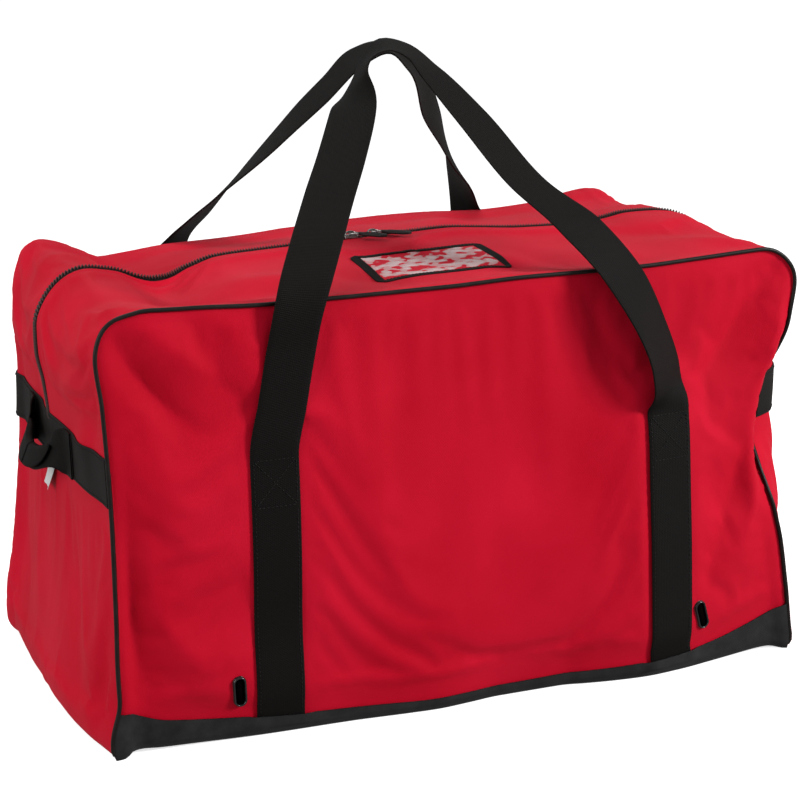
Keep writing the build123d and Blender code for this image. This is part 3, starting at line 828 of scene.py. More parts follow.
# ---------------------------------------------------------------- the top strips and the zip
def cloth_uv(points):
    """Distances along the rows and columns of a grid of points."""
    across = np.concatenate([np.zeros((1, points.shape[1])),
                             np.cumsum(np.linalg.norm(np.diff(points, axis=0), axis=2), axis=0)])
    lengthwise = np.concatenate([np.zeros((points.shape[0], 1)),
                                 np.cumsum(np.linalg.norm(np.diff(points, axis=1), axis=2), axis=1)], axis=1)
    return np.stack([across, lengthwise], axis=-1)


STRIP_G = np.unique(np.concatenate([np.arange(STRIP_FOOT, GIRTH - STRIP_FOOT + 0.1, 5.0),
                                    [MIDDLE, GIRTH - STRIP_FOOT]]))
PULL_PLACES = (-35.0, 290.0)  # the cloth stays low where the pulls sweep over it
STRIP_Y = np.array([ZIP_EDGE, 6.9, 7.9, 9.3, 11.0, 13.2, 16.0] + list(np.arange(20, 214, 5.0))
                   + [216, 219.5, 222.5, 225, 226.8, 228.0])


def zip_ridge(away):
    """Height of the small fold of cloth beside the zip, at a distance from the zip's middle."""
    return 0.9 * np.exp(-((away - ZIP_RIDGE) / 2.6) ** 2)


def strip_points(sign):
    """A top strip before it settles, as a grid: rows away from the zip, columns along the girth."""
    g, y = np.meshgrid(STRIP_G, sign * STRIP_Y)
    away = np.abs(y)
    ridge = zip_ridge(away) - 1.3 * np.exp(-((SEAM_Y - away) / 3.5) ** 2)
    return shell(g, y) + outward(g) * ridge[..., None]


def cloth_grid(name, points, faces, material, thick=CLOTH):
    """A closed sheet of cloth through a grid of points."""
    return cloth_shell(name, points.reshape(-1, 3), faces, material, uv=cloth_uv(points).reshape(-1, 2),
                       thick=thick)


def split_strip(side, sign):
    """Left and right half of a top strip."""
    points = strip_points(sign)
    rows, cols = points.shape[:2]
    faces = grid_faces(rows, cols)
    if sign > 0:
        faces = faces[:, ::-1]
    uv = cloth_uv(points)
    girth, away = np.meshgrid(STRIP_G, STRIP_Y)
    free = (smooth((away - 15) / 14) * smooth((SEAM_Y - 5 - away) / 12)
            * smooth((np.minimum(girth, GIRTH - girth) - BAND_HIGH - 12) / 30))
    for x in PULL_PLACES:
        free *= smooth((np.hypot(girth - MIDDLE - x, away) - 45) / 35)
    flat = settle(f"{side}_settling", points.reshape(-1, 3), faces, free.ravel(), 0.009, 0.35, 5.5)
    points = flat.reshape(points.shape)
    normals = vertex_normals(flat, faces)
    STRIP_SURFACE[side] = surface_of(flat, faces)
    centre = int(np.argmin(np.abs(STRIP_G - MIDDLE)))
    for half, cut in (("left", slice(0, centre + 1)), ("right", slice(centre, cols))):
        part = points[:, cut]
        part_faces = grid_faces(rows, part.shape[1])
        if sign > 0:
            part_faces = part_faces[:, ::-1]
        part_normals = normals.reshape(rows, cols, 3)[:, cut].reshape(-1, 3)
        obj = cloth_shell(f"{side}_top_{half}", part.reshape(-1, 3), part_faces, RED,
                          uv=uv[:, cut].reshape(-1, 2), normals=part_normals)
        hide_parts(f"{half}_{side}_gusset", f"{side}_flap")
        with_flap(obj)


def with_flap(obj):
    """Bakes the world placement of a piece of a top strip, or of what is sewn to it, into its mesh."""
    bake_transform(obj)


def zip_line(g):
    """Place, cross direction (towards the rear) and outward direction of the zip at girth g."""
    place = shell(g, 0.0)
    across = unit(shell(g, 6.0) - shell(g, -6.0))
    ahead = unit(shell(g + 2, 0.0) - shell(g - 2, 0.0))
    return place, across, unit(np.cross(ahead, across))


TOOTH_PITCH = 3.2
TOOTH_SLANT = 2.2          # how far a tooth's outer end is ahead of its inner one
TOOTH_OVERLAP = 0.4        # how far a tooth's inner end passes the zip's middle
TOOTH_REACH = 6.2          # the zip's middle to a tooth's outer end
TOOTH_LIFTS = (2.8, 2.1)   # of the inner and the outer end
TOOTH_HALF = (0.8, 2.0)    # half its width and half its height
TAPE_PROFILE = ((0.35, 1.5), (4.0, 1.5), (6.0, 1.3), (7.0, 0.4), (9.0, -1.8), (12.5, -2.6))  # away, lift


def zip_half(side, half):
    """Coil and tape of a quarter of the zip: one side of it, from an end band to the middle."""
    sign = -1 if side == "front" else 1
    low, high = (BAND_HIGH - 6, MIDDLE) if half == "left" else (MIDDLE, GIRTH - BAND_HIGH + 6)
    g = np.arange(low, high, TOOTH_PITCH)
    place, across, out = zip_line(g)
    inner = place - across * sign * TOOTH_OVERLAP + out * TOOTH_LIFTS[0]
    outer = zip_line(g + sign * TOOTH_SLANT)[0] + across * sign * TOOTH_REACH + out * TOOTH_LIFTS[1]
    points, faces = capsules(inner, outer, out, *TOOTH_HALF)
    coil = new_object(f"{side}_coil_{half}", points, faces, COIL)
    tape_g = np.arange(low, high + 2.5, 5.0)
    tape_g[-1] = high
    tape = np.stack([shell(tape_g, sign * away) + outward(tape_g) * lift for away, lift in TAPE_PROFILE])
    faces = grid_faces(*tape.shape[:2])
    if sign > 0:
        faces = faces[:, ::-1]
    strip = cloth_grid(f"{side}_zip_tape_{half}", tape, faces, BINDING, thick=0.6)
    for obj in (coil, strip):
        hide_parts(f"{side}_zip_chain", f"{half}_zip_chain")
        with_flap(obj)


STRIP_SURFACE = {}
for side, sign in SIDES:
    split_strip(side, sign)
    for half in HALVES:
        zip_half(side, half)


# ---------------------------------------------------------------- end panels
def end_panel(half):
    """Cloth of one end, from the base up behind the end band. Returns its surface."""
    g = np.concatenate([[2.5, 4.5, 7, 10, 14], np.arange(19, PANEL_HEAD, 5.0), [PANEL_HEAD]])
    y = np.concatenate([[-228, -227, -225, -222], np.arange(-218, 219, 5.45), [222, 225, 227, 228]])
    gg, yy = np.meshgrid(g if half == "left" else GIRTH - g, y)
    points = shell(gg, yy)
    seam = 1.3 * np.exp(-((SEAM_Y - np.abs(yy)) / 3.5) ** 2)
    points[..., 0] += seam * (1 if half == "left" else -1)
    faces = grid_faces(*points.shape[:2])
    if half == "right":
        faces = faces[:, ::-1]
    girth = np.minimum(gg, GIRTH - gg)
    free = (smooth((SEAM_Y - 6 - np.abs(yy)) / 14) * smooth((girth - 16) / 24)
            * smooth((BAND_LOW - 8 - girth) / 26))
    settled = settle(f"{half}_settling", points.reshape(-1, 3), faces, free.ravel(), 0.008, 0.5, 6.5)
    points = settled.reshape(points.shape)
    obj = cloth_grid(f"{half}_end_cloth", points, faces, RED)
    fit(obj, "red_fabric", "bag", f"{half}_end_panel")
    return surface_of(settled, faces)


END_SURFACE = {half: end_panel(half) for half in HALVES}


# ---------------------------------------------------------------- piping
def piping(side, sign):
    """Cord round one long panel, its ends tucked under, and the tape that binds the seam inside."""
    g = np.linspace(1.5, GIRTH - 1.5, 420)
    path = shell(g, sign * SEAM_Y)
    proud = 0.9 if sign < 0 else -1.6
    path = path + outward(g) * proud + np.array([0, sign * 0.9, 0])
    path[:, 2] = np.maximum(path[:, 2], PIPING_RADIUS)
    tucks = []
    for end, inward in ((path[0], 1), (path[-1], -1)):
        tucks.append(np.array([[end[0] + inward * d, end[1] - sign * behind, PIPING_RADIUS + up]
                               for d, behind, up in ((9, 8, 5), (5.5, 5, 3), (2, 1.5, 0.6))]))
    path = np.concatenate([tucks[0], path[1:-1], tucks[1][::-1]])
    path = along(spline(along(path, pitch=9.0), pitch=2.0), pitch=4.0)
    obj = tube(f"{side}_piping_cord", path, PIPING_RADIUS, PIPING, sides=12)
    fit(obj, "piping", "bag", f"{side}_piping")
    inside = along(shell(np.linspace(6, GIRTH - 6, 420), sign * (SEAM_Y - 8)), pitch=6.0)
    inward = -outward(np.linspace(6, GIRTH - 6, len(inside)))
    tape = ribbon(f"{side}_seam_tape", inside + inward * 5.0,
                  np.tile([[0.0, 1.0, 0.0]], (len(inside), 1)), BINDING, width=8.0, thick=1.6)
    fit(tape, "binding", "bag", f"{side}_binding")


for side, sign in SIDES:
    piping(side, sign)


# ---------------------------------------------------------------- big front and rear panels
PANEL_PITCH = 6.0          # spacing of a big panel's mesh


def outline_of(sign):
    """The panel's seam line as (x, z, y), from the left base seam over the top to the right one."""
    g = np.linspace(8, GIRTH - 8, 900)
    seam = shell(g, sign * SEAM_Y)
    seam = seam[seam[:, 2] > BASE_SEAM(seam[:, 0]) - 6]
    return along(seam[:, [0, 2, 1]], pitch=PANEL_PITCH)


def big_panel(side, sign, folds, seed):
    """Front or rear cloth, inside its seam line. Returns its surface."""
    top = outline_of(sign)
    count = int((top[-1, 0] - top[0, 0]) / PANEL_PITCH)
    xs = np.linspace(top[-1, 0], top[0, 0], count)[1:-1]
    low = np.stack([xs, BASE_SEAM(xs) - 6], axis=1)
    ring = np.concatenate([top[:, :2], low])
    edge_y = np.concatenate([top[:, 2], np.full(len(low), sign * SEAM_Y)])
    gx, gz = np.meshgrid(np.arange(-384, 392, PANEL_PITCH), np.arange(PANEL_PITCH, 462, PANEL_PITCH))
    gx = gx + PANEL_PITCH / 2 * (np.arange(gx.shape[0]) % 2)[:, None]
    inner = np.stack([gx.ravel(), gz.ravel()], axis=1)
    nearest = np.full(len(inner), 1e9)
    inside = np.zeros(len(inner), bool)
    following = np.roll(ring, -1, axis=0)
    for a, b in zip(ring, following):
        run = b - a
        t = np.clip(((inner - a) @ run) / (run @ run), 0, 1)
        nearest = np.minimum(nearest, np.linalg.norm(inner - (a + t[:, None] * run), axis=1))
        crosses = (a[1] > inner[:, 1]) != (b[1] > inner[:, 1])
        if abs(run[1]) > 1e-9:
            inside ^= crosses & (inner[:, 0] < a[0] + (inner[:, 1] - a[1]) / run[1] * run[0])
    keep = inside & (nearest > 3.2)
    inner = inner[keep]
    flat = np.concatenate([ring, inner])
    edges = [(k, (k + 1) % len(ring)) for k in range(len(ring))]
    made, _, faces, _, _, _ = delaunay_2d_cdt([Vector(p) for p in flat], edges, [], 1, 1e-5)
    flat = np.array([tuple(v) for v in made])
    x, z = flat[:, 0], flat[:, 1]
    gap = np.full(len(flat), 1e9)
    seam_gap = np.full(len(flat), 1e9)
    seam_y = np.zeros(len(flat))
    for k, (a, b) in enumerate(zip(ring, following)):
        run = b - a
        t = np.clip(((flat - a) @ run) / (run @ run), 0, 1)
        d = np.linalg.norm(flat - (a + t[:, None] * run), axis=1)
        if k < len(top) - 1:
            near = d < seam_gap
            seam_gap = np.where(near, d, seam_gap)
            seam_y = np.where(near, edge_y[k], seam_y)
        gap = np.minimum(gap, d)
    back = (np.abs(seam_y) - SEAM_Y) * np.exp(-(seam_gap / 16) ** 2)
    over_base = smooth((z - BASE_SEAM(x)) / 32)
    proud = lean(sign, x, z) * smooth(seam_gap / 20)
    proud = proud + over_base * panel_relief(x, z, folds, seed) * smooth(seam_gap / 15)
    proud = proud - 1.2 * np.exp(-(seam_gap / 3.5) ** 2)
    y = sign * (SEAM_Y + 0.5 + proud + back)
    points = np.stack([x, y, z], axis=1)
    faces = np.array([f for f in faces if len(f) == 3])
    if sign > 0:
        faces = faces[:, ::-1]
    if vertex_normals(points, faces)[:, 1].mean() * sign < 0:
        faces = faces[:, ::-1]
    free = smooth((gap - 5) / 22) * smooth((z - BASE_SEAM(x) - 8) / 26)
    for k in range(len(STRAP_X)):
        under = smooth((46 - np.abs(x - strap_middle(k, z))) / 16) * smooth((STRAP_TOP + 34 - z) / 30)
        free = free * (1 - under)
    for vent_x, vent_z, _ in VENTS:
        free = free * (1 - smooth((34 - np.hypot(x - vent_x, z - vent_z)) / 16))
    points = settle(f"{side}_settling", points, faces, free, 0.006, 0.4, 6.0)
    normals = vertex_normals(points, faces)
    obj = cloth_shell(f"{side}_cloth", points, faces, RED, uv=np.stack([x, z], axis=1), normals=normals)
    fit(obj, "red_fabric", "bag", f"{side}_panel")
    return surface_of(points, faces)


PANEL_SURFACE = {
    "front": big_panel("front", -1, FRONT_FOLDS, 11),
    "rear": big_panel("rear", 1, REAR_FOLDS, 12),
}


# ---------------------------------------------------------------- the tarpaulin base
def base_cloth():
    """One sheet: up the front to its seam, under the bag, and up the rear."""
    columns = 150
    share = np.linspace(0, 1, columns)
    ease = share + 0.02 * np.sin(2 * math.pi * share) * -1
    rows = []
    lift = line((-420, 0.3), (-392, 0.3), (-384, 0.8), (-374, 4.5), (-340, 3), (-260, 1.0), (-200, 0.3),
                (230, 0.3), (290, 1.5), (340, 3.2), (372, 2), (420, 1))

    def ends(z, y):
        left = shell(np.array([max(z, 0.5)]), y)[0, 0]
        right = shell(np.array([GIRTH - max(z, 0.5)]), y)[0, 0]
        return left, right

    def upstand(sign):
        made = []
        for high in (1.0, 0.93, 0.8, 0.6, 0.4, 0.2, 0.0):
            left, right = ends(10 + high * 40, sign * SEAM_Y)
            x = left + (right - left) * ease
            seam = BASE_SEAM(x)
            z = 9 + high * (seam - 9)
            edge = np.minimum(x - left, right - x)
            y = SEAM_Y + 2.0 + lean(sign, x, z) * smooth(edge / 20) - 1.6 * np.exp(-(edge / 4) ** 2)
            for k in range(len(STRAP_X)):
                y = y + 2.8 * smooth((36 - np.abs(x - strap_middle(k, z))) / 8) * smooth((z - seam + 17) / 8)
            made.append(np.stack([x, sign * y, z + lift(x) * (1 - np.exp(-(edge / 10) ** 2))], axis=1))
        for angle in (20, 45, 70, 90):
            left, right = ends(4, sign * SEAM_Y)
            x = left + (right - left) * ease
            edge = np.minimum(x - left, right - x)
            a = math.radians(angle)
            corner = np.exp(-(edge / 10) ** 2)
            roll = 9 - 6.5 * corner
            y = SEAM_Y + 2.0 + lean(sign, x, 9.0 + 0 * x) * smooth(edge / 20) - roll * (1 - math.cos(a))
            z = 9 * (1 - math.sin(a)) + lift(x) * (1 - corner) + 0.3
            made.append(np.stack([x, sign * y, z], axis=1))
        return made

    rows += upstand(-1)
    for y in np.linspace(-212, 212, 40):
        left, right = ends(0.5, y)
        x = left + (right - left) * ease
        z = lift(x) * np.clip((np.abs(y) - 150) / 70, 0, 1) + 0.3
        rows.append(np.stack([x, np.full(columns, y), z], axis=1))
    rows += upstand(1)[::-1]
    points = np.stack(rows)
    faces = grid_faces(*points.shape[:2])
    obj = cloth_grid("base_cloth", points, faces, TARP, thick=1.6)
    fit(obj, "tarpaulin", "bag", "bottom_panel")
    return points


BASE_POINTS = base_cloth()


# ---------------------------------------------------------------- carry webbing
FRONT_STATIONS = (
    ((-215.7, -232.5, 297.5), (-1, 0, 0)), ((-206, -236, 345), (-1, 0, 0)), ((-195, -239, 398), (-1, 0, 0)),
    ((-182, -240, 451), (-1, 0, 0)), ((-157, -211, 494), (-1, 0, 0)), ((-121, -154, 536), (-1, 0.1, 0)),
    ((-88, -104, 573), (-1, 0.3, 0)), ((-60, -62, 613), (-0.8, 0.6, 0)), ((-45, -36, 641), (0.1, 1, 0)),
    ((-28, -27, 664), (0.25, 1, 0.1)), ((-6, -24, 675), (0.1, 1, 0.22)), ((16, -27, 668), (0.3, 1, 0.28)),
    ((38, -42, 643), (0.6, 0.9, 0.3)), ((68, -78, 598), (0.85, 0.5, 0.1)), ((103, -140, 533), (0.95, 0.3, 0)),
    ((134, -208, 492), (1, 0, 0)), ((161, -247, 448), (0.97, 0.2, 0)), ((189, -258, 392), (0.88, 0.47, 0)),
    ((206, -258, 345), (0.85, 0.53, 0)), ((211, -254, 317), (0.88, 0.47, 0)),
    ((213, -232.5, 297.5), (1, 0, 0)),
)
REAR_STATIONS = (
    ((-215.7, 232.5, 297.5), (-1, 0, 0)), ((-211, 236, 345), (-1, 0, 0)), ((-200, 240, 398), (-1, -0.2, 0)),
    ((-184, 241, 440), (-0.78, -0.63, 0)), ((-161, 214, 472), (-0.74, -0.67, -0.1)),
    ((-137, 178, 507), (-0.65, -0.69, -0.31)), ((-96, 112, 566), (-0.43, -0.75, -0.51)),
    ((-76, 82, 595), (-0.33, -0.78, -0.53)), ((-53, 54, 624), (-0.25, -0.82, -0.51)),
    ((-20, 31, 660), (0, -1, -0.25)), ((6, 27, 669), (0, -1, -0.2)), ((32, 32, 656), (-0.15, -0.9, -0.45)),
    ((77, 78, 601), (-0.34, -0.51, -0.79)), ((104, 112, 568), (-0.23, -0.59, -0.78)),
    ((132, 152, 529), (0.02, -0.69, -0.72)), ((150, 176, 506), (0.25, -0.75, -0.61)),
    ((186, 238, 448), (0.59, -0.7, -0.39)), ((199, 239, 398), (0.95, -0.3, 0)), ((209, 236, 345), (1, 0, 0)),
    ((213, 232.5, 297.5), (1, 0, 0)),
)


def on_panel(side, x, z, lift):
    """Points lifted off a big panel's cloth at places (x, z), with its outward directions."""
    sign = -1 if side == "front" else 1
    x, z = np.broadcast_arrays(np.asarray(x, float), np.asarray(z, float))
    points = np.stack([x, np.full(x.shape, sign * SEAM_Y), z], axis=1)
    return drop(PANEL_SURFACE[side], points, (0, -sign, 0), lift)


def carry_webbing(side, sign, stations):
    """One length of webbing: up the panel, over as the handle, and down the panel again."""
    centres = [list(place) for place, _ in stations]
    hints = [list(across) for _, across in stations]
    for place in centres:
        if place[2] < HEIGHT - 20:
            clear, _ = on_panel(side, place[0], [place[2]], 3.2)
            place[1] = sign * max(abs(place[1]), abs(clear[0, 1]))
    for end, way in ((0, 1), (-1, -1)):
        tucked = BASE_SEAM(STRAP_X[end]) - 9
        heights = np.array([tucked, 24, 45, 70, 100, 130, 160, 190, 220, 250, 275, 292.0])
        x = strap_middle(end, heights)
        placed, _ = on_panel(side, x, heights, 1.35)
        before, _ = on_panel(side, x - 20, heights, 0)
        after, _ = on_panel(side, x + 20, heights, 0)
        across = unit(after - before) * -way
        across[:, 2] = 0
        centres[0 if way > 0 else -1][1] = placed[-1][1] + sign * 0.3
        hints[0 if way > 0 else -1] = list(across[-1])
        if way > 0:
            centres, hints = placed.tolist() + centres, across.tolist() + hints
        else:
            centres, hints = centres + placed[::-1].tolist(), hints + across[::-1].tolist()
    both = np.concatenate([np.array(centres, float), np.array(hints, float)], axis=1)
    path = spline(both, pitch=5.0)
    obj = ribbon(f"{side}_carry_webbing", path[:, :3], path[:, 3:], WEBBING)
    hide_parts(f"{side}_handle", f"{side}_left_strap", f"{side}_right_strap")
    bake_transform(obj)
    rows = []
    for end in (0, -1):
        inset = WEBBING_WIDTH / 2 - 3.5
        corners = ((-inset, 244), (inset, 244), (inset, 292), (-inset, 292))
        runs = [(corners[k], corners[(k + 1) % 4]) for k in range(4)]
        runs += [(corners[0], corners[2]), (corners[1], corners[3])]
        floor_z = BASE_SEAM(np.array([STRAP_X[end]]))[0] + 3
        runs += [((-inset, floor_z), (-inset, 241)), ((inset, floor_z), (inset, 241))]
        for (x0, z0), (x1, z1) in runs:
            zs = np.linspace(z0, z1, 30)
            x = strap_middle(end, zs)
            xs = x + np.linspace(x0, x1, 30)
            middle, _ = on_panel(side, x, zs, 2.35)
            before, _ = on_panel(side, x - 20, zs, 0)
            after, _ = on_panel(side, x + 20, zs, 0)
            slope = (after[:, 1] - before[:, 1]) / 40
            row = np.stack([xs, middle[:, 1] + (xs - x) * slope, zs], axis=1)
            rows.append(stitch_row(row, (0, sign, 0), 3.2, 1.3, 0.42))
    stitches = merged(f"{side}_webbing_stitches", rows, THREAD)
    fit(stitches, "webbing", "bag")


carry_webbing("front", -1, FRONT_STATIONS)
carry_webbing("rear", 1, REAR_STATIONS)


# ---------------------------------------------------------------- end bands, grab handles and the care label
GRIP_STATIONS = (
    # distance out from the end face, y, z, share of the full width
    (1.6, -106, 285.5, 1.0), (1.6, -92, 285.5, 1.0), (2.2, -82, 285.3, 1.0), (7, -72, 284, 0.95),
    (12, -62, 281, 0.78), (17, -48, 276, 0.6), (22, -26, 270, 0.54), (24, 0, 268, 0.53), (22, 26, 270, 0.54),
    (17, 48, 276, 0.6), (12, 62, 281, 0.78), (7, 72, 284, 0.95), (2.2, 82, 285.3, 1.0), (1.6, 92, 285.5, 1.0),
    (1.6, 106, 285.5, 1.0),
)
BAND_G = (BAND_LOW + BAND_HIGH) / 2
GRAB_WIDTH = 49.0          # of the grab handle's webbing, flat


def end_face(half, z, y, lift):
    """A point lifted off an end's cloth, and the outward direction there."""
    g = np.asarray(z, float) if half == "left" else GIRTH - np.asarray(z, float)
    y = np.asarray(y, float)
    place = shell(g, y)
    up = shell(g + 3, y) - shell(g - 3, y)
    over = shell(g, y + 3) - shell(g, y - 3)
    out = unit(np.cross(up, over))
    return place + out * lift, out


def end_band(half):
    """Webbing across one end, its stitching, and the grab handle sewn to it."""
    way = -1 if half == "left" else 1
    y = np.concatenate([[-225.5, -223.5, -220], np.arange(-215, 216, 5.0), [220, 223.5, 225.5]])
    low, _ = end_face(half, BAND_LOW, y, 2.3)
    high, _ = end_face(half, BAND_HIGH, y, 2.3)
    middle = (low + high) / 2
    across = unit(high - low)
    obj = ribbon(f"{half}_end_band_webbing", middle, across, BAND, width=BAND_HIGH - BAND_LOW, cup=0.4)
    fit(obj, "webbing", "bag", f"{half}_end_band")
    rows = []
    for z in (BAND_LOW + 3, BAND_HIGH - 3):
        yy = np.linspace(-222, 222, 120)
        share = (z - BAND_LOW) / (BAND_HIGH - BAND_LOW)
        a, _ = end_face(half, BAND_LOW, yy, 3.4)
        b, out = end_face(half, BAND_HIGH, yy, 3.4)
        rows.append(stitch_row(a + (b - a) * share, out, 3.2, 1.3, 0.4))
    for y0 in (-104, -83, 83, 104):
        a, _ = end_face(half, BAND_LOW, np.full(20, y0), 5.4)
        b, out = end_face(half, BAND_HIGH, np.full(20, y0), 5.4)
        share = np.linspace(0.08, 0.92, 20)[:, None]
        rows.append(stitch_row(a + (b - a) * share, out, 3.0, 1.1, 0.42))
    stitches = merged(f"{half}_band_stitches", rows, THREAD)
    fit(stitches, "webbing", "bag")

    # the grab handle: one length of webbing, flat where it is sewn and folded in half at the grip
    centres, across, widths = [], [], []
    for out_by, yy, z, share in GRIP_STATIONS:
        face, out = end_face(half, np.array([BAND_G]), np.array([float(yy)]), 3.4 + out_by)
        place = face[0] + np.array([0, 0, z - BAND_G])
        tilt = (1 - share) * 1.15
        centres.append(place)
        across.append(np.array([-way * tilt, 0.0, 1.0]))
        widths.append(share * GRAB_WIDTH)
    both = np.concatenate([np.array(centres), np.array(across), np.array(widths)[:, None]], axis=1)
    path = spline(both, pitch=3.5)
    grab_ribbon(half, path)


def grab_ribbon(half, path):
    """The grab handle's cloth: its cross-section closes from flat to folded in half."""
    way = -1 if half == "left" else 1
    centres = path[:, :3]
    tangent = unit(np.gradient(centres, axis=0))
    across = unit(path[:, 3:6] - tangent * np.sum(path[:, 3:6] * tangent, axis=1, keepdims=True))
    outward = np.cross(across, tangent)
    outward = outward * np.sign(np.sum(outward * np.array([way, 0, 0]), axis=1, keepdims=True) + 1e-9)
    width = path[:, 6]
    folded = np.clip((GRAB_WIDTH - width) / 23.0, 0, 1)
    full, thick = GRAB_WIDTH, 1.9
    columns = 17
    s = np.linspace(-1, 1, columns)
    rows_out, rows_in = [], []
    for k in range(len(centres)):
        f = folded[k]
        # flat webbing, or a hairpin fold round its upper edge
        flat_line = np.stack([s * full / 2, np.zeros(columns)], axis=1)
        turn = 4.2
        leg = full / 2 - turn * math.pi / 4
        arc = (s * full / 2) / turn * 2
        up = np.where(np.abs(arc) < math.pi / 2, np.cos(arc) * turn, 0)
        side = np.where(np.abs(arc) < math.pi / 2, np.sin(arc) * turn, np.sign(s) * turn)
        beyond = np.clip(np.abs(s) * full / 2 - turn * math.pi / 4, 0, None)
        hair = np.stack([width[k] / 2 - turn + up - beyond, side * (1 - 0.45 * beyond / leg)], axis=1)
        shape = flat_line * (1 - f) + hair * f
        run = unit(np.gradient(shape, axis=0))
        face = np.stack([-run[:, 1], run[:, 0]], axis=1)
        for target, offset in ((rows_out, thick / 2), (rows_in, -thick / 2)):
            p = shape + face * offset
            target.append(centres[k] + across[k] * p[:, :1] + outward[k] * p[:, 1:])
    outer, inner = np.array(rows_out), np.array(rows_in)
    loop = np.concatenate([outer, inner[:, ::-1]], axis=1)
    count = loop.shape[1]
    faces = grid_faces(len(centres), count, wrap=True).tolist()
    last = (len(centres) - 1) * count
    for k in range(columns - 1):
        a, b, c, d = k, k + 1, count - 2 - k, count - 1 - k
        faces.append((a, b, c, d))
        faces.append((last + d, last + c, last + b, last + a))
    length = distances(centres)
    sideways = np.concatenate([s, s[::-1]]) * full / 2
    uv = np.stack([np.tile(sideways, len(centres)), np.repeat(length, count)], axis=1)
    points = loop.reshape(-1, 3)
    normals = vertex_normals(points, np.array([f for f in faces if len(f) == 4]))
    centre_out = np.sum((points - np.repeat(centres, count, axis=0)) * normals, axis=1).mean()
    if centre_out < 0:
        faces = [f[::-1] for f in faces]
    pieces = (("front", path[:, 1] <= 0.001), ("rear", path[:, 1] >= -0.001))
    for end, keep in pieces:
        chosen = np.where(keep)[0]
        index = -np.ones(len(points), int)
        wanted = (chosen[:, None] * count + np.arange(count)).ravel()
        index[wanted] = np.arange(len(wanted))
        kept = [tuple(index[list(f)]) for f in faces if min(index[list(f)]) >= 0]
        part = new_object(f"{half}_grab_webbing_{end}", points[wanted], kept, WEBBING, uv=uv[wanted])
        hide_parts(f"{half}_grab", f"{half}_grab_ends", f"{half}_grab_anchors")
        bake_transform(part)


for half in HALVES:
    end_band(half)


def care_label():
    """Blank satin label, caught under the left end band and curling at its free corner."""
    rows, cols = 18, 13
    down, over = np.meshgrid(np.linspace(0, 1, rows), np.linspace(0, 1, cols), indexing="ij")
    y = -10 + 38 * over
    z = 266 - 40 * down
    place, out = end_face("left", z, y, 0.0)
    place, _ = drop(END_SURFACE["left"], place.reshape(-1, 3), (1, 0, 0), 1.2)
    place = place.reshape(rows, cols, 3)
    curl = 5.0 * down ** 2 + 5.0 * (down * (1 - over)) ** 2 + 1.2 * np.sin(3.0 * over + 4 * down) * down
    points = place + out * curl[..., None]
    faces = grid_faces(rows, cols)
    obj = cloth_grid("care_label_cloth", points, faces, LABEL, thick=0.4)
    fit(obj, "label_cloth", "bag", "care_label")


care_label()


# ---------------------------------------------------------------- sliders and pulls
# Half, place along X, turn of its pull in degrees, and the way its nose points.
SLIDERS = (("left", -48.0, -50.0, 1), ("right", -22.0, -43.0, -1))


def lofted(sections):
    """Closed body through rings of equal count."""
    rows, count = len(sections), len(sections[0])
    points = np.concatenate(sections)
    faces = grid_faces(rows, count, wrap=True).tolist()
    faces.append(tuple(range(count))[::-1])
    faces.append(tuple(range(len(points) - count, len(points))))
    return points, faces


def rounded_ring(x, half_y, low, high, power=4.0, count=20):
    """A superellipse ring in the plane at x."""
    turn = np.linspace(0, 2 * math.pi, count, endpoint=False)
    c, s = np.cos(turn), np.sin(turn)
    y = half_y * np.sign(c) * np.abs(c) ** (2 / power)
    z = (low + high) / 2 + (high - low) / 2 * np.sign(s) * np.abs(s) ** (2 / power)
    return np.stack([np.full(count, x), y, z], axis=1)


def slider(half, centre, nose):
    """Die-cast slider: a waisted top plate over the coil, side flanges and a bail for the pull."""
    base = ZIP_TOP + 0.2
    waist = ((-9.6, 3.2, 1.6), (-8.8, 4.8, 2.5), (-6, 5.9, 2.9), (-2, 5.6, 3.0), (2, 5.2, 3.0),
             (6, 5.9, 2.9), (8.8, 5.0, 2.5), (9.6, 3.4, 1.6))
    plate = [rounded_ring(nose * x, w, base + 0.9, base + h) for x, w, h in waist]
    parts = [lofted(plate if nose > 0 else plate[::-1])]
    for edge in (-1, 1):
        flange = [rounded_ring(x, 0.7, base - 1.6, base + 1.8, 3) + np.array([0, edge * 5.1, 0])
                  for x in (-7.5, -6.5, 0, 6.5, 7.5)]
        parts.append(lofted(flange))
    arch = [(-5.6, base + 2.6), (-5.2, base + 4.4), (-3.6, base + 5.9), (0, base + 6.5), (3.6, base + 5.9),
            (5.2, base + 4.4), (5.6, base + 2.6)]
    path = spline([(x, 0, z) for x, z in arch], pitch=1.0)
    points, faces, _ = ribbon_points(path, np.tile([[0.0, 1, 0]], (len(path), 1)), 3.4, 1.5)
    parts.append((points, faces))
    parts = [(p + np.array([centre, 0, 0]), f) for p, f in parts]
    obj = merged(f"{half}_slider_body", parts, METAL)
    fit(obj, "slider_metal", f"{half}_slider", f"{half}_slider")


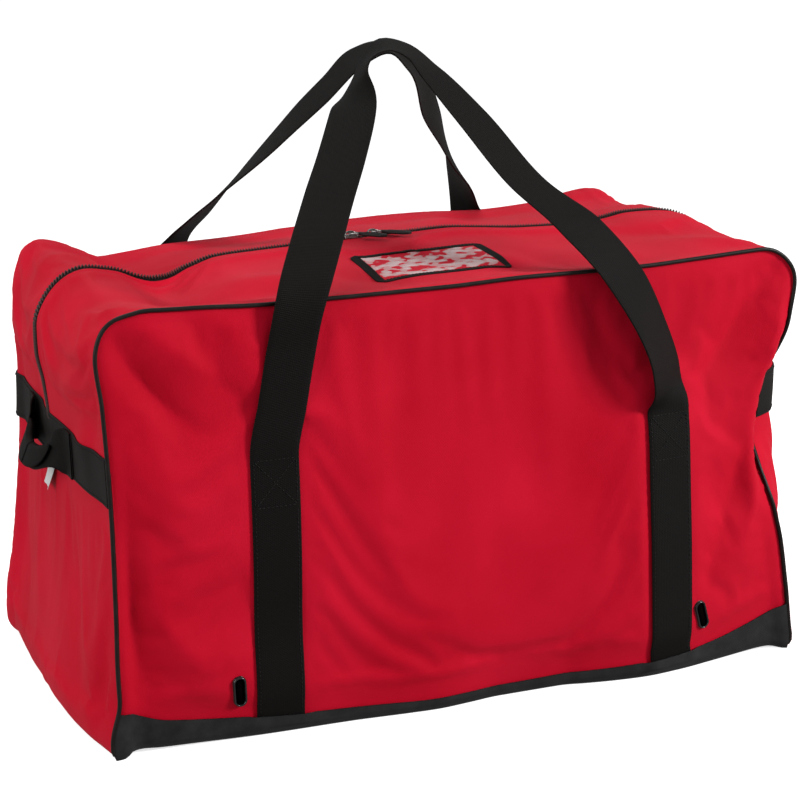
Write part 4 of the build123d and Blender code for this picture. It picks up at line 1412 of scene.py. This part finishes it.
def pull(half, centre, angle):
    """Wire link through the bail and a ribbed soft tab, lying along the top cloth."""
    pivot = ZIP_TOP + 5.2
    turn = math.radians(angle)
    ahead = np.array([math.cos(turn), math.sin(turn), 0])
    side = np.array([-math.sin(turn), math.cos(turn), 0])
    origin = np.array([centre, 0.0, pivot])
    slope = np.array([0, 0, -0.02])

    def at(x, y, z):
        return origin + ahead * x + side * y + np.array([0, 0, z]) + slope * x

    ring = [(-1.5, 0), (-0.9, 2.4), (1.5, 3.3), (10, 2.9), (12.6, 2.0), (13.4, 0), (12.6, -2.0), (10, -2.9),
            (1.5, -3.3), (-0.9, -2.4), (-1.5, 0)]
    path = along(spline([at(x, y, 0) for x, y in ring], pitch=0.8), pitch=0.9)
    link = tube(f"{half}_pull_ring", path, 0.85, METAL, sides=8, start=(0, 0, 1))
    fit(link, "slider_metal", f"{half}_pull", f"{half}_pull_link")
    length = 35.0
    rings = []
    stations = np.concatenate([[0, 0.5, 1.4, 3.0, 5.5, 7.0], np.arange(8.0, 29.0, 0.5),
                               [30.5, 32.5, 34.0, 34.7, 35.0]])
    for x in stations:
        share = x / length
        width = 2.8 + 2.9 * smooth((x - 2) / 7)
        if x < 1.4:
            width *= 0.55 + 0.45 * math.sqrt(x / 1.4)
        if x > 31:
            width *= math.sqrt(max(0.02, 1 - ((x - 31) / 4.05) ** 2))
        ribbed = 0.5 * max(0.0, math.sin((x - 8) * math.pi / 1.5)) if 8 < x < 28.5 else 0.0
        high = 1.7 + ribbed - 0.5 * smooth((share - 0.86) / 0.14)
        section = rounded_ring(0, width, -high, high, 3.4, 20)
        rings.append(np.array([at(11.3 + x, p[1], p[2]) for p in section]))
    points, faces = lofted(rings)
    tab = new_object(f"{half}_pull_grip", points, faces, RUBBER)
    fit(tab, "pull_rubber", f"{half}_pull", f"{half}_pull_tab")


ZIP_TOP = float(shell(MIDDLE - 35, 0.0)[2]) + 2.6
for half, centre, angle, nose in SLIDERS:
    slider(half, centre, nose)
    pull(half, centre, angle)


# ---------------------------------------------------------------- the name window on the front top strip
WINDOW_CENTRE = (-0.5, -121.0)
WINDOW_OUTER = (151.0, 99.0)
WINDOW_BORDER = 11.0


def on_top(x, y, lift):
    """Points lifted off the front top strip at places (x, y), with its outward directions."""
    points = np.stack(np.broadcast_arrays(np.asarray(x, float), np.asarray(y, float), 460.0), axis=-1)
    placed, normals = drop(STRIP_SURFACE["front"], points.reshape(-1, 3), (0, 0, -1), lift)
    return placed.reshape(points.shape), normals.reshape(points.shape)


def window():
    """Tape frame with two rows of stitches round a red sheet with painted glare patches and a clear film
    whitened with painted glare.
    """
    cx, cy = WINDOW_CENTRE
    half_x, half_y = WINDOW_OUTER[0] / 2 - WINDOW_BORDER / 2, WINDOW_OUTER[1] / 2 - WINDOW_BORDER / 2
    corner = 4.8
    path, outward = [], []
    corners = ((half_x - corner, half_y - corner, 0), (-half_x + corner, half_y - corner, 90),
               (-half_x + corner, -half_y + corner, 180), (half_x - corner, -half_y + corner, 270))
    for ox, oy, start in corners:
        for step in range(0, 91, 15):
            a = math.radians(start + step)
            path.append((cx + ox + corner * math.cos(a), cy + oy + corner * math.sin(a)))
            outward.append((math.cos(a), math.sin(a)))
    path.append(path[0])
    outward.append(outward[0])
    fine = along(np.concatenate([np.array(path), np.array(outward)], axis=1), pitch=2.5)
    placed, normals = on_top(fine[:, 0], fine[:, 1], 1.0)
    across = np.concatenate([fine[:, 2:], np.zeros((len(fine), 1))], axis=1)
    obj = ribbon("window_frame_tape", placed, across, WEBBING, width=WINDOW_BORDER, thick=1.5)
    fit(obj, "binding", "front_flap", "window_frame")
    rows = []
    for inset in (-3.6, 3.8):
        row = placed + unit(across) * inset
        rows.append(stitch_row(row, normals, 2.8, 1.2, 0.36, lift=0.75))
    stitches = merged("window_stitches", rows, THREAD)
    fit(stitches, "binding", "front_flap")
    inner_x, inner_y = half_x - 1, half_y - 1
    xs, ys = np.meshgrid(np.linspace(-inner_x, inner_x, 60), np.linspace(-inner_y, inner_y, 32))
    # the card sheet carries painted glare patches, and the film's milky white is painted glare
    for name, material, lift, thick, height in (("window_card_sheet", GLARE_CARD, 0.5, 0.2, 0.0),
                                                ("window_glare_film_sheet", GLARE_FILM, 0.95, 0.25, 0.5)):
        placed, normals = on_top(cx + xs, cy + ys, lift)
        edge = np.minimum(inner_x - np.abs(xs), inner_y - np.abs(ys))
        crinkle = height * (ripple(xs, ys, 26, 5) + 0.6 * ripple(xs, ys, 12, 6) + 1.0) * smooth(edge / 8)
        placed = placed + normals * np.clip(crinkle, 0, None)[..., None]
        faces = grid_faces(*placed.shape[:2])
        sheet = cloth_grid(name, placed, faces, material, thick=thick)
        fit(sheet, "clear_film", "front_flap", "window_film")


window()


# ---------------------------------------------------------------- vents
def vents():
    """Two oblong vents: a rounded rim on the cloth and, inside it, a near-black disc of painted shade for the
    dark hole.
    """
    rings, shade_discs = [], []
    for x, z, tilt in VENTS:
        reach = np.array([(0, 0), (0, 17), (0, -17), (7, 0), (-7, 0),
                          (5, 12), (-5, 12), (5, -12), (-5, -12.0)])
        spots, _ = on_panel("front", x + reach[:, 0], z + reach[:, 1], 0.0)
        lengthwise, upward = unit(spots[3] - spots[4]), unit(spots[1] - spots[2])
        out = unit(np.cross(lengthwise, upward))
        centre = spots[0] + out * (np.max((spots - spots[0]) @ out) + 0.2)
        up = np.array([-tilt, 0, 1.0])
        up = unit(up - out * (up @ out))
        over = np.cross(up, out)
        turn = np.linspace(0, 2 * math.pi, 56, endpoint=False)
        straight = 9.6
        circle = np.stack([np.cos(turn), np.sin(turn)], axis=1)
        shift = np.where(circle[:, 1:] >= 0, straight, -straight)
        profile = ((7.3, -0.4), (7.2, 0.9), (6.9, 1.8), (6.4, 2.4), (5.8, 2.5), (5.3, 2.2), (5.0, 1.5),
                   (4.8, 0.5), (4.7, -1.6))
        loop = []
        for radius, high in profile:
            ring = circle * radius + np.concatenate([np.zeros_like(shift), shift], axis=1)
            loop.append(centre + over * ring[:, :1] + up * ring[:, 1:] + out * high)
        points = np.concatenate(loop)
        faces = grid_faces(len(profile), len(turn), wrap=True)[:, ::-1].tolist()
        back = np.concatenate([loop[-1] - out * 0.5, loop[0] - out * 0.8])
        points = np.concatenate([points, back])
        count = len(turn)
        tail = (len(profile) - 1) * count
        for k in range(count):
            n = (k + 1) % count
            faces.append((tail + n, tail + k, tail + count + k, tail + count + n)[::-1])
            faces.append((tail + count + k, tail + count + n, tail + 2 * count + n, tail + 2 * count + k))
            faces.append((tail + 2 * count + k, tail + 2 * count + n, n, k))
        rings.append((points, faces))
        # the disc inside the rim is painted shade for the vent's hole
        ring = circle * 4.85 + np.concatenate([np.zeros_like(shift), shift], axis=1)
        front = centre + over * ring[:, :1] + up * ring[:, 1:] + out * 0.2
        rear = front - out * 1.0
        shade_discs.append((np.concatenate([front, rear]),
                      [tuple(range(count)), tuple(range(count, 2 * count))[::-1]]
                      + [(k, k + count, (k + 1) % count + count, (k + 1) % count) for k in range(count)]))
    for name, parts, material, node in (("vent_rings", rings, VENT, "vent_eyelets"),
                                        ("vent_shade_plates", shade_discs, VENT_HOLE_SHADE, "vent_washers")):
        obj = merged(name, parts, material)
        fit(obj, "vent_plastic", "bag", node)


vents()


# ---------------------------------------------------------------- sewing on the cloth
ZIP_ROWS = (10.2, 13.6)


def zip_topstitch(side, sign, half):
    """Two rows of red thread beside the zip."""
    low, high = (BAND_HIGH + 2, MIDDLE) if half == "left" else (MIDDLE, GIRTH - BAND_HIGH - 2)
    g = np.arange(low, high, 3.0)
    rows = []
    for away in ZIP_ROWS:
        row = shell(g, sign * away) + outward(g) * zip_ridge(away)
        rows.append(stitch_row(row, outward(g), 3.0, 1.2, 0.3, lift=0.05))
    obj = merged(f"{side}_zip_stitches_{half}", rows, RED_THREAD)
    with_flap(obj)


for side, sign in SIDES:
    for half in HALVES:
        zip_topstitch(side, sign, half)


def base_stitches():
    """A row of thread along the base's front and rear seams."""
    rows = []
    for sign, row in ((-1, 1), (1, -2)):
        path = BASE_POINTS[row].copy()
        path[:, 2] = path[:, 2] - 1.2
        rows.append(stitch_row(along(path[2:-2], pitch=6.0), (0, sign, 0), 3.4, 1.4, 0.4, lift=0.1))
    obj = merged("base_stitches", rows, THREAD)
    fit(obj, "tarpaulin", "bag")


base_stitches()


# ---------------------------------------------------------------- floor, light and camera
def studio():
    """White floor and surroundings, with a key, a fill and a top light."""
    floor_mesh = bpy.data.meshes.new("floor")
    size = 60.0
    corners = [(-size, -size, 0), (size, -size, 0), (size, size, 0), (-size, size, 0)]
    floor_mesh.from_pydata(corners, [], [(0, 1, 2, 3)])
    floor = bpy.data.objects.new("floor", floor_mesh)
    bpy.context.scene.collection.objects.link(floor)
    look = Look("floor_paper", (0.93, 0.93, 0.93), 0.9, Specular_IOR_Level=0.1,
                Emission_Color=(1, 1, 1, 1), Emission_Strength=0.72)
    floor_mesh.materials.append(look.material)
    floor.visible_diffuse = floor.visible_glossy = False

    world = bpy.data.worlds.new("studio")
    bpy.context.scene.world = world
    world.use_nodes = True
    background = world.node_tree.nodes["Background"]
    background.inputs["Color"].default_value = (1, 1, 1, 1)
    background.inputs["Strength"].default_value = 0.36

    lights = (("key", (2.9, -2.2, 1.7), (0, 0, 0.25), 0.9, 136),
              ("fill", (-2.8, -0.9, 1.3), (0, 0, 0.25), 1.6, 42),
              ("top", (-0.5, 0.6, 2.9), (0, 0, 0.3), 1.6, 27))
    for name, place, target, size, power in lights:
        data = bpy.data.lights.new(name, "AREA")
        data.shape = "SQUARE"
        data.size = size
        data.energy = power
        light = bpy.data.objects.new(name, data)
        light.location = place
        light.rotation_mode = "QUATERNION"
        light.rotation_quaternion = (Vector(target) - Vector(place)).to_track_quat("-Z", "Y")
        bpy.context.scene.collection.objects.link(light)
    bpy.context.scene.view_settings.view_transform = "Standard"


def camera():
    """Level with a person's waist, in front and to the left of the bag."""
    azimuth, elevation, roll = math.radians(-19.883), math.radians(13.520), math.radians(-1.908)
    distance, target = 2.443158, Vector((0.003889, 0.0, 0.277088))
    flat = math.cos(elevation)
    back = Vector((math.sin(azimuth) * flat, -math.cos(azimuth) * flat, math.sin(elevation)))
    level = (-back).cross(Vector((0, 0, 1))).normalized()
    upright = level.cross(-back)
    right = level * math.cos(roll) + upright * math.sin(roll)
    up = upright * math.cos(roll) - level * math.sin(roll)
    data = bpy.data.cameras.new("camera")
    data.lens, data.sensor_width = 97.55, 36.0
    data.clip_start, data.clip_end = 0.05, 200.0
    obj = bpy.data.objects.new("camera", data)
    turn = Matrix((right, up, back)).transposed()
    obj.matrix_world = Matrix.Translation(target + back * distance) @ turn.to_4x4()
    bpy.context.scene.collection.objects.link(obj)
    bpy.context.scene.camera = obj


studio()
camera()
